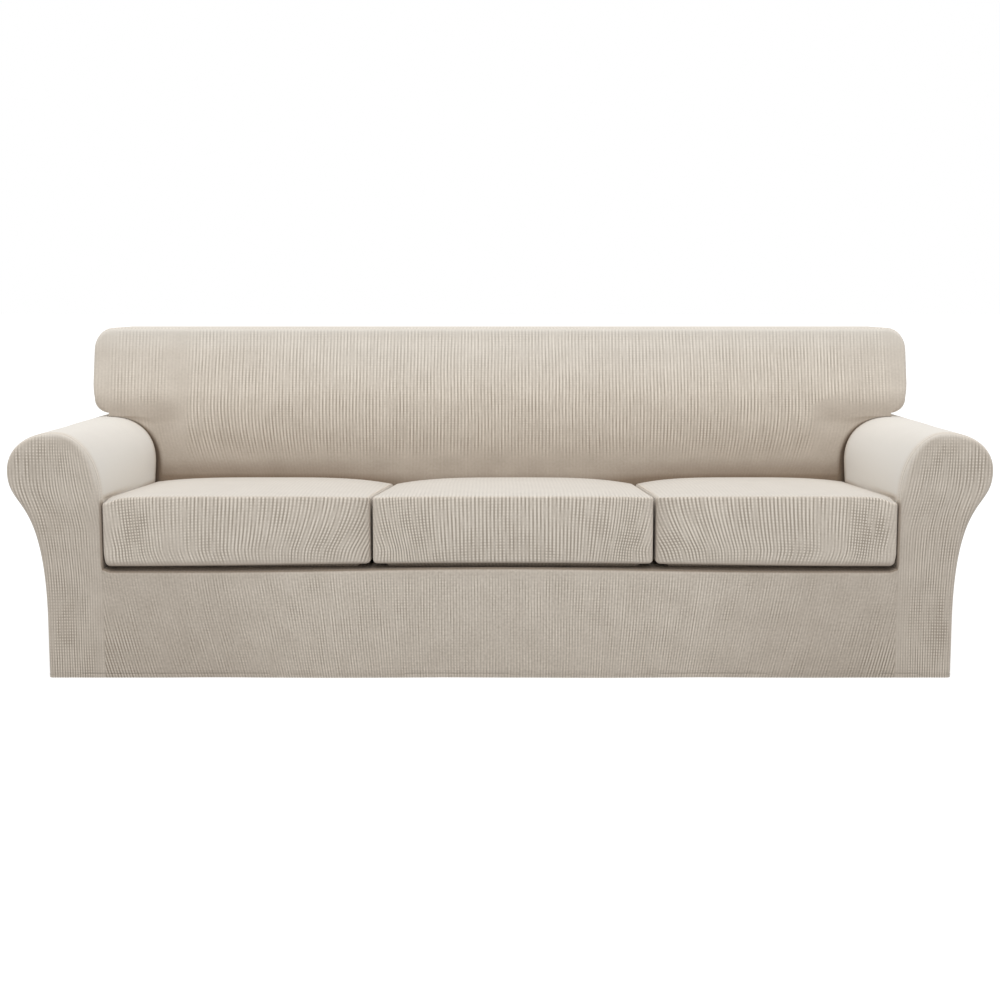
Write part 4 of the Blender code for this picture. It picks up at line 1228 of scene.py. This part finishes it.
def cushion_plan(cushion, station, gap, z, bulge):
    """A point of the cover's plan, a distance in from its faces, at a height."""
    u, v, angle = station
    front = FRONT + gap
    rear = back_face(z) - CUSHION_REAR_GAP - gap
    radius = max(CUSHION_CORNER - CORNER_TIGHTENS * gap, CORNER_LEAST)
    if angle is None:
        along = radius / (rear - front)
        v = v if v in (0, 1) else mix(along, 1 - along, v)
        y = mix(front, rear, v)
    else:
        y = (front + radius if v == 0 else rear - radius) + radius * math.sin(math.radians(angle))
    left = side_x(cushion.left, y, z) + gap
    right = side_x(cushion.right, y, z) - gap
    if angle is None:
        across = radius / (right - left)
        u = u if u in (0, 1) else mix(across, 1 - across, u)
        x = mix(left, right, u)
    else:
        x = (left + radius if u == 0 else right - radius) + radius * math.cos(math.radians(angle))
    if v == 0:
        y -= CUSHION_BULGE * bulge * (1 - (2 * u - 1) ** BULGE_SHAPE[0])
    return x, y


def cushion_top_z(cushion, u, v):
    """Height of the top: crowned both ways, and dipped at the outer corners."""
    crown = CUSHION_TOP + CUSHION_RISE * math.sin(math.pi * v) - CUSHION_DROP * v
    side = cushion.left if u < 0.5 else cushion.right
    z = mix(mix(side.z_front, side.z_rear, v), crown, 1 - abs(2 * u - 1) ** mix(*CROWN_POWER, v))
    if beside_arm(side):
        across = min(u, 1 - u) * (cushion.right.x_front - cushion.left.x_front)
        deep = v * (SEAT_REAR - FRONT)
        z -= CORNER_DIP * math.exp(-(across / CORNER_REACH[0]) ** 2 - (deep / CORNER_REACH[1]) ** 2)
    return z


def front_share(station):
    """1 on a cushion's front and rear, 0 on its sides, and between the two round its corners."""
    u, v, angle = station
    if angle is None:
        return 1.0 if v in (0, 1) else 0.0
    return math.sin(math.radians(angle)) ** 2


def boxing_section():
    """The boxing's section from the turned-under hem to the top seam: the distance in from the faces, the
    share of the lower edge's height, the share of the face's height, and the share of the upper edge's."""
    rows = [(gap, 0.0, 0.0, 0.0) for gap in HEM_RINGS]
    for step in range(EDGE_STEPS + 1):
        low = UNDER * (1 - math.cos(math.pi * step / EDGE_STEPS)) / 2
        rows.append((mix(*FOOT_IN, step / EDGE_STEPS), low / LOWER_UP, 0.0, 0.0))
    for turn in np.radians(np.linspace(0, 90, EDGE_STEPS + 1)):
        low = UNDER + LOWER * (1 - math.cos(turn))
        rows.append((LOWER * (1 - math.sin(turn)), low / LOWER_UP, 0.0, 0.0))
    rows += [(0.0, 1.0, face, 0.0) for face in np.linspace(0, 1, FACE_STEPS + 1)[1:-1]]
    rows += [(UPPER * (1 - math.cos(turn)), 1.0, 1.0, math.sin(turn)) for turn in RIM_TURNS]
    return rows


def boxing_ring(cushion, stations, gap, low, face, high):
    """One ring round the boxing, at one row of its section."""
    points = []
    bulge = math.sin(math.pi * face) ** BULGE_SHAPE[1] if 0 < face < 1 else 0.0
    for station in stations:
        z = CUSHION_BASE + low * LOWER_UP
        if face > 0:
            top = cushion_top_z(cushion, station[0], station[1])
            z = mix(z, top - UPPER, face) + high * UPPER
        x, y = cushion_plan(cushion, station, gap, z, bulge)
        rail = rail_rise(x) * front_share(station) * (1 - station[1])
        z += (rail - change(abs(x), *SAG)) * low * (1 - face)
        points.append((x, y, z))
    return points


def boxing_sway(cushion, across, down):
    """How far the ribs lean, by the share of the front's width and of its height."""
    sway = 0.0
    for (lean, reach), share in ((cushion.sway_left, across), (cushion.sway_right, 1 - across)):
        sway = sway + lean * np.exp(-(share / reach) ** 2)
    return sway * down ** SWAY_POWER


def boxing_looks(cushion, x, z, from_side, down, in_front):
    """Uneven ribs that fade towards the edges, a painted highlight on the other sides, and painted shade at
    the bottom and where the other covers are.
    """
    place = x if cushion.name == "middle" else np.abs(x)
    weave = cushion.ribs + folds(cushion.zones, place, z)
    weave = weave * change(from_side, *END_RIBS) * change(down, *BOTTOM_RIBS) * change(down, *SHOULDER_RIBS)
    weave = mix(BOXING_SIDE[0], np.maximum(weave, LEAST_FRONT_RIBS), in_front)
    inner = cushion.right if cushion.name == "left" else cushion.left
    beside = cushion.beside * np.exp(-((x - inner.x_front) / BESIDE_WIDTH) ** 2) * change(down, *BESIDE_DOWN)
    pale = mix(BOXING_SIDE[1], -COVER_DARK - beside, in_front)
    rows = COVER_ROWS + folds(cushion.rows, place, z) * in_front
    return weave, mix(pale, BOTTOM_SHADE, change(down, *BOTTOM_DARK)), rows


def boxing_net(cushion):
    stations = cushion_stations()
    rings = np.array([boxing_ring(cushion, stations, *row) for row in boxing_section()])
    rings = np.concatenate((rings, rings[:, :1]), axis=1)
    x, y, z = np.moveaxis(rings, -1, 0)
    face = rings[len(rings) // 2]
    around = line_length(face[:, :2])
    middle = CORNER_STEPS + ACROSS_STEPS // 2
    around = around - around[middle] + face[middle, 0]
    steps = np.linalg.norm(np.diff(rings, axis=0), axis=2)
    up = np.vstack((np.zeros((1, len(around))), np.cumsum(steps, axis=0)))
    width = np.ptp(face[:, 0])
    across = np.clip((x - face[:, 0].min()) / width, 0, 1)
    down = np.clip((CUSHION_TOP - z) / (CUSHION_TOP - CUSHION_BASE), 0, 1)
    in_front = change(y, *BOXING_FRONT)
    bunch = sum(BUNCH * np.tanh((x - centre) / BUNCH_REACH) for centre in cushion.bunches)
    drawn = bunch * change(down, *BUNCH_DOWN) - boxing_sway(cushion, across, down)
    looks = boxing_looks(cushion, x, z, np.minimum(across, 1 - across) * width, down, in_front)
    return net(x, y, z, around + drawn * in_front, up, *looks)


def shoulder_ring(cushion, stations, turn):
    """A ring of the top panel's rim: it carries the upper rounding on to the level top."""
    points = []
    for station in stations:
        gap = UPPER * (1 - math.cos(turn))
        z = cushion_top_z(cushion, station[0], station[1]) - UPPER * (1 - math.sin(turn))
        points.append((*cushion_plan(cushion, station, gap, z, 0.0), z))
    return points


def top_looks(cushion, x, y):
    """Nearly smooth, with a painted highlight, and painted shade close to the arms, the other covers and the
    back.
    """
    weave = PANEL_RIBS + cushion.front_ribs * change(y, *PANEL_FRONT)
    pale = change(y, *PANEL_PALE)
    left, right = (side_x(side, y, CUSHION_TOP) for side in (cushion.left, cushion.right))
    dark = np.exp(-(np.minimum(x - left, right - x) / PANEL_SIDE_LINE) ** 2) * change(y, *PANEL_SIDE_DARK)
    dark += change(y - back_face(CUSHION_TOP) + CUSHION_REAR_GAP, *PANEL_REAR_DARK)
    return weave, pale - (1 + pale) * dark


def top_nets(cushion):
    stations = cushion_stations()
    rings = np.array([shoulder_ring(cushion, stations, turn) for turn in SHOULDER_TURNS])
    rings = np.concatenate((rings, rings[:, :1]), axis=1)
    loop = rings[-1]
    across = ACROSS_STEPS + 2 * CORNER_STEPS
    deep = DEEP_STEPS + 2 * CORNER_STEPS
    front = loop[:across + 1]
    right = loop[across:across + deep + 1]
    rear = loop[across + deep:2 * across + deep + 1][::-1]
    left = loop[2 * across + deep:][::-1]
    u = ((front[:, 0] - front[0, 0]) / (front[-1, 0] - front[0, 0]))[None, :, None]
    v = ((left[:, 1] - left[0, 1]) / (left[-1, 1] - left[0, 1]))[:, None, None]
    corners = mix(mix(front[0], front[-1], u), mix(rear[0], rear[-1], u), v)
    field = mix(front[None], rear[None], v) + mix(left[:, None], right[:, None], u) - corners
    for j in range(1, deep):
        for i in range(1, across):
            field[j, i, 2] = cushion_top_z(cushion, float(u[0, i, 0]), float(v[j, 0, 0]))
    nets = []
    for points in (rings, field):
        x, y, z = np.moveaxis(points, -1, 0)
        nets.append(net(x, y, z, x, y, *top_looks(cushion, x, y)))
    return nets


cushion_knit = knit_material("knit_cushion", rib_pitch=0.0098, row_pitch=0.0074, relief=0.0012,
                             painted_highlight=(0.640, 0.608, 0.562, 1))
for cushion in CUSHIONS:
    boxing = sew("cushion_boxing_" + cushion.name, [boxing_net(cushion)], Vector((0, -1, 0)))
    panel = sew("cushion_panel_" + cushion.name, top_nets(cushion), Vector((0, 0, 1)))
    band = "cushion_band_" + cushion.name
    fit(boxing, band, cushion_knit)
    fit(panel, "cushion_top_" + cushion.name, cushion_knit)


# ---- Hem stitches ----
# One line of thread all round the cover, a finger's breadth above the floor, that holds the turned-up hem.
# Each stitch is a short arched run of thread on the cloth's face, drawn a little into it.
STITCH_PITCH = 0.0052
STITCH_LENGTH = 0.0038
STITCH_ARCH = 0.0007        # height of its arch
STITCH_THREAD = 0.00042     # radius of the thread
STITCH_STEPS = 4            # along the arch
THREAD_SIDES = 6
RAIL_OUT = 0.012            # how far outside the hem the line is laid before it settles on the cloth

THREAD_COLOURS = ((0.36, 0.33, 0.28, 1), (0.56, 0.51, 0.44, 1))
PLY_SCALE = 900.0           # the twist of the thread
PLY_SHARE = 0.6             # of the colour; the rest is uneven in patches
PATCH_SCALE = 60.0
PLY_DEPTH = 0.0002


def thread_material():
    """Twisted matt thread."""
    material = bpy.data.materials.new("thread")
    material.use_nodes = True
    tree = material.node_tree
    shader = tree.nodes["Principled BSDF"]
    where = wire(tree, "TexCoord").outputs["Object"]
    ply = wire(tree, "TexWave", Vector=where, Scale=PLY_SCALE, Distortion=1.5, bands_direction="DIAGONAL")
    ply = ply.outputs["Fac"]
    patches = sum_up(tree, "MULTIPLY", noise(tree, where, PATCH_SCALE), 1 - PLY_SHARE)
    colour = blend(tree, sum_up(tree, "MULTIPLY_ADD", ply, PLY_SHARE, patches), *THREAD_COLOURS)
    bump = wire(tree, "Bump", Strength=0.5, Distance=PLY_DEPTH, Height=ply).outputs[0]
    tree.links.new(colour, shader.inputs["Base Color"])
    tree.links.new(bump, shader.inputs["Normal"])
    shader.inputs["Roughness"].default_value = 0.7
    shader.inputs["Specular IOR Level"].default_value = 0.3
    return material


def stitch_tree():
    """Geometry Nodes: lays a rail on the cloth, and a stitch at every pitch along it."""
    tree = bpy.data.node_groups.new("hem_stitches", "GeometryNodeTree")
    face = tree.interface
    face.new_socket("Geometry", in_out="INPUT", socket_type="NodeSocketGeometry")
    sockets = {"Cloth": face.new_socket("Cloth", in_out="INPUT", socket_type="NodeSocketCollection")}
    for name in ("Pitch", "Length", "Arch", "Thread"):
        sockets[name] = face.new_socket(name, in_out="INPUT", socket_type="NodeSocketFloat")
    sockets["Material"] = face.new_socket("Material", in_out="INPUT", socket_type="NodeSocketMaterial")
    face.new_socket("Geometry", in_out="OUTPUT", socket_type="NodeSocketGeometry")
    given = tree.nodes.new("NodeGroupInput").outputs

    def node(kind, **inputs):
        return wire(tree, kind, **inputs).outputs

    cloth = node("GeometryNodeCollectionInfo", transform_space="RELATIVE", Collection=given["Cloth"])
    cloth = node("GeometryNodeRealizeInstances", Geometry=cloth[0])
    rail = node("GeometryNodeMeshToCurve", Mesh=given["Geometry"])
    rail = node("GeometryNodeResampleCurve", mode="LENGTH", Curve=rail[0], Length=given["Pitch"])
    near = node("GeometryNodeProximity", target_element="FACES", i0=cloth[0])
    laid = node("GeometryNodeSetPosition", Geometry=rail[0], Position=near["Position"])
    along = node("GeometryNodeInputTangent")
    turn = node("FunctionNodeAlignRotationToVector", axis="X", pivot_axis="Z", Vector=along[0])

    half = sum_up(tree, "MULTIPLY", given["Length"], 0.5)
    start = node("ShaderNodeCombineXYZ", X=sum_up(tree, "MULTIPLY", half, -1.0))
    middle = node("ShaderNodeCombineXYZ", Y=sum_up(tree, "MULTIPLY", given["Arch"], -2.0))
    end = node("ShaderNodeCombineXYZ", X=half)
    arch = node("GeometryNodeCurveQuadraticBezier", Resolution=STITCH_STEPS,
                Start=start[0], Middle=middle[0], End=end[0])
    section = node("GeometryNodeCurvePrimitiveCircle", Resolution=THREAD_SIDES, Radius=given["Thread"])
    stitch = node("GeometryNodeCurveToMesh", Curve=arch[0], Profile_Curve=section[0], Fill_Caps=True)
    row = node("GeometryNodeInstanceOnPoints", Points=laid[0], Instance=stitch[0], Rotation=turn[0])
    row = node("GeometryNodeRealizeInstances", Geometry=row[0])
    row = node("GeometryNodeSetMaterial", Geometry=row[0], Material=given["Material"])
    tree.links.new(row[0], tree.nodes.new("NodeGroupOutput").inputs[0])
    return tree, {name: socket.identifier for name, socket in sockets.items()}


def hem_rail():
    """The line round the cover, seen from above, anticlockwise."""
    side = ARM_HEM_X + RAIL_OUT
    rear = rear_face(STITCH_Z) + RAIL_OUT
    front = FRONT - RAIL_OUT
    corners = ((-side, front), (side, front), (side, rear), (-side, rear))
    mesh = bpy.data.meshes.new("hem_rail")
    mesh.from_pydata([(x, y, STITCH_Z) for x, y in corners], [(0, 1), (1, 2), (2, 3), (3, 0)], [])
    return mesh


hemmed = bpy.data.collections.new("hemmed")
for piece in [front_skirt, outside_back] + hem_pieces:
    hemmed.objects.link(piece)
hem_stitches = bpy.data.objects.new("hem_stitches", hem_rail())
bpy.context.scene.collection.objects.link(hem_stitches)
tree, inputs = stitch_tree()
sewing = hem_stitches.modifiers.new("sewing", "NODES")
sewing.node_group = tree
for name, value in (("Cloth", hemmed), ("Pitch", STITCH_PITCH), ("Length", STITCH_LENGTH),
                    ("Arch", STITCH_ARCH), ("Thread", STITCH_THREAD), ("Material", thread_material())):
    sewing[inputs[name]] = value
sewn = bpy.data.meshes.new_from_object(hem_stitches.evaluated_get(bpy.context.evaluated_depsgraph_get()))
hem_stitches.modifiers.clear()
hem_stitches.data = sewn
sewn.name = "hem_stitches"
sewn.shade_smooth()
bpy.data.collections.remove(hemmed)
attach(hem_stitches, "root")


# ---- Studio ----
# A white floor without an end, under a wide soft light from above and a white sky.
FLOOR_HALF = 200.0
FLOOR_GREY = 0.50           # what it throws back on the cover
FLOOR_WHITE = 0.62          # how much whiter it looks than that
OVERHEAD = 1.75             # irradiance of the light overhead
OVERHEAD_SPREAD = 95        # its width in degrees
OVERHEAD_TURN = 12          # degrees by which it comes from the front
OVERHEAD_COLOUR = (0.98, 0.99, 1.0)
WORLD_GLOW = 0.64           # what the sky gives the cover, where it looks full white
WHITE = (1.0, 1.0, 1.0, 1)

corners = [(x * FLOOR_HALF, y * FLOOR_HALF, 0) for x, y in ((-1, -1), (1, -1), (1, 1), (-1, 1))]
floor_mesh = bpy.data.meshes.new("floor")
floor_mesh.from_pydata(corners, [], [(0, 1, 2, 3)])
floor = bpy.data.objects.new("floor", floor_mesh)
bpy.context.scene.collection.objects.link(floor)
floor_paint = bpy.data.materials.new("floor_paint")
floor_paint.use_nodes = True
floor_tree = floor_paint.node_tree
floor_shader = floor_tree.nodes["Principled BSDF"]
floor_shader.inputs["Base Color"].default_value = (FLOOR_GREY, FLOOR_GREY, FLOOR_GREY, 1)
floor_shader.inputs["Roughness"].default_value = 0.95
floor_shader.inputs["Specular IOR Level"].default_value = 0.0
floor_shader.inputs["Emission Color"].default_value = WHITE
lit = sum_up(floor_tree, "MULTIPLY", wire(floor_tree, "LightPath").outputs["Is Camera Ray"], FLOOR_WHITE)
floor_tree.links.new(lit, floor_shader.inputs["Emission Strength"])
floor_mesh.materials.append(floor_paint)

overhead = bpy.data.lights.new("overhead", "SUN")
overhead.energy = OVERHEAD
overhead.angle = math.radians(OVERHEAD_SPREAD)
overhead.color = OVERHEAD_COLOUR
overhead_holder = bpy.data.objects.new("overhead", overhead)
overhead_holder.location = (0, 0, 4)
overhead_holder.rotation_euler = (math.radians(OVERHEAD_TURN), 0, 0)
bpy.context.scene.collection.objects.link(overhead_holder)

world = bpy.data.worlds.new("white")
world.use_nodes = True
bpy.context.scene.world = world
sky = world.node_tree
glow = sky.nodes["Background"]
glow.inputs["Color"].default_value = WHITE
seen = wire(sky, "LightPath").outputs["Is Camera Ray"]
sky.links.new(sum_up(sky, "MULTIPLY_ADD", seen, 1.0 - WORLD_GLOW, WORLD_GLOW), glow.inputs["Strength"])
bpy.context.scene.view_settings.view_transform = "Standard"
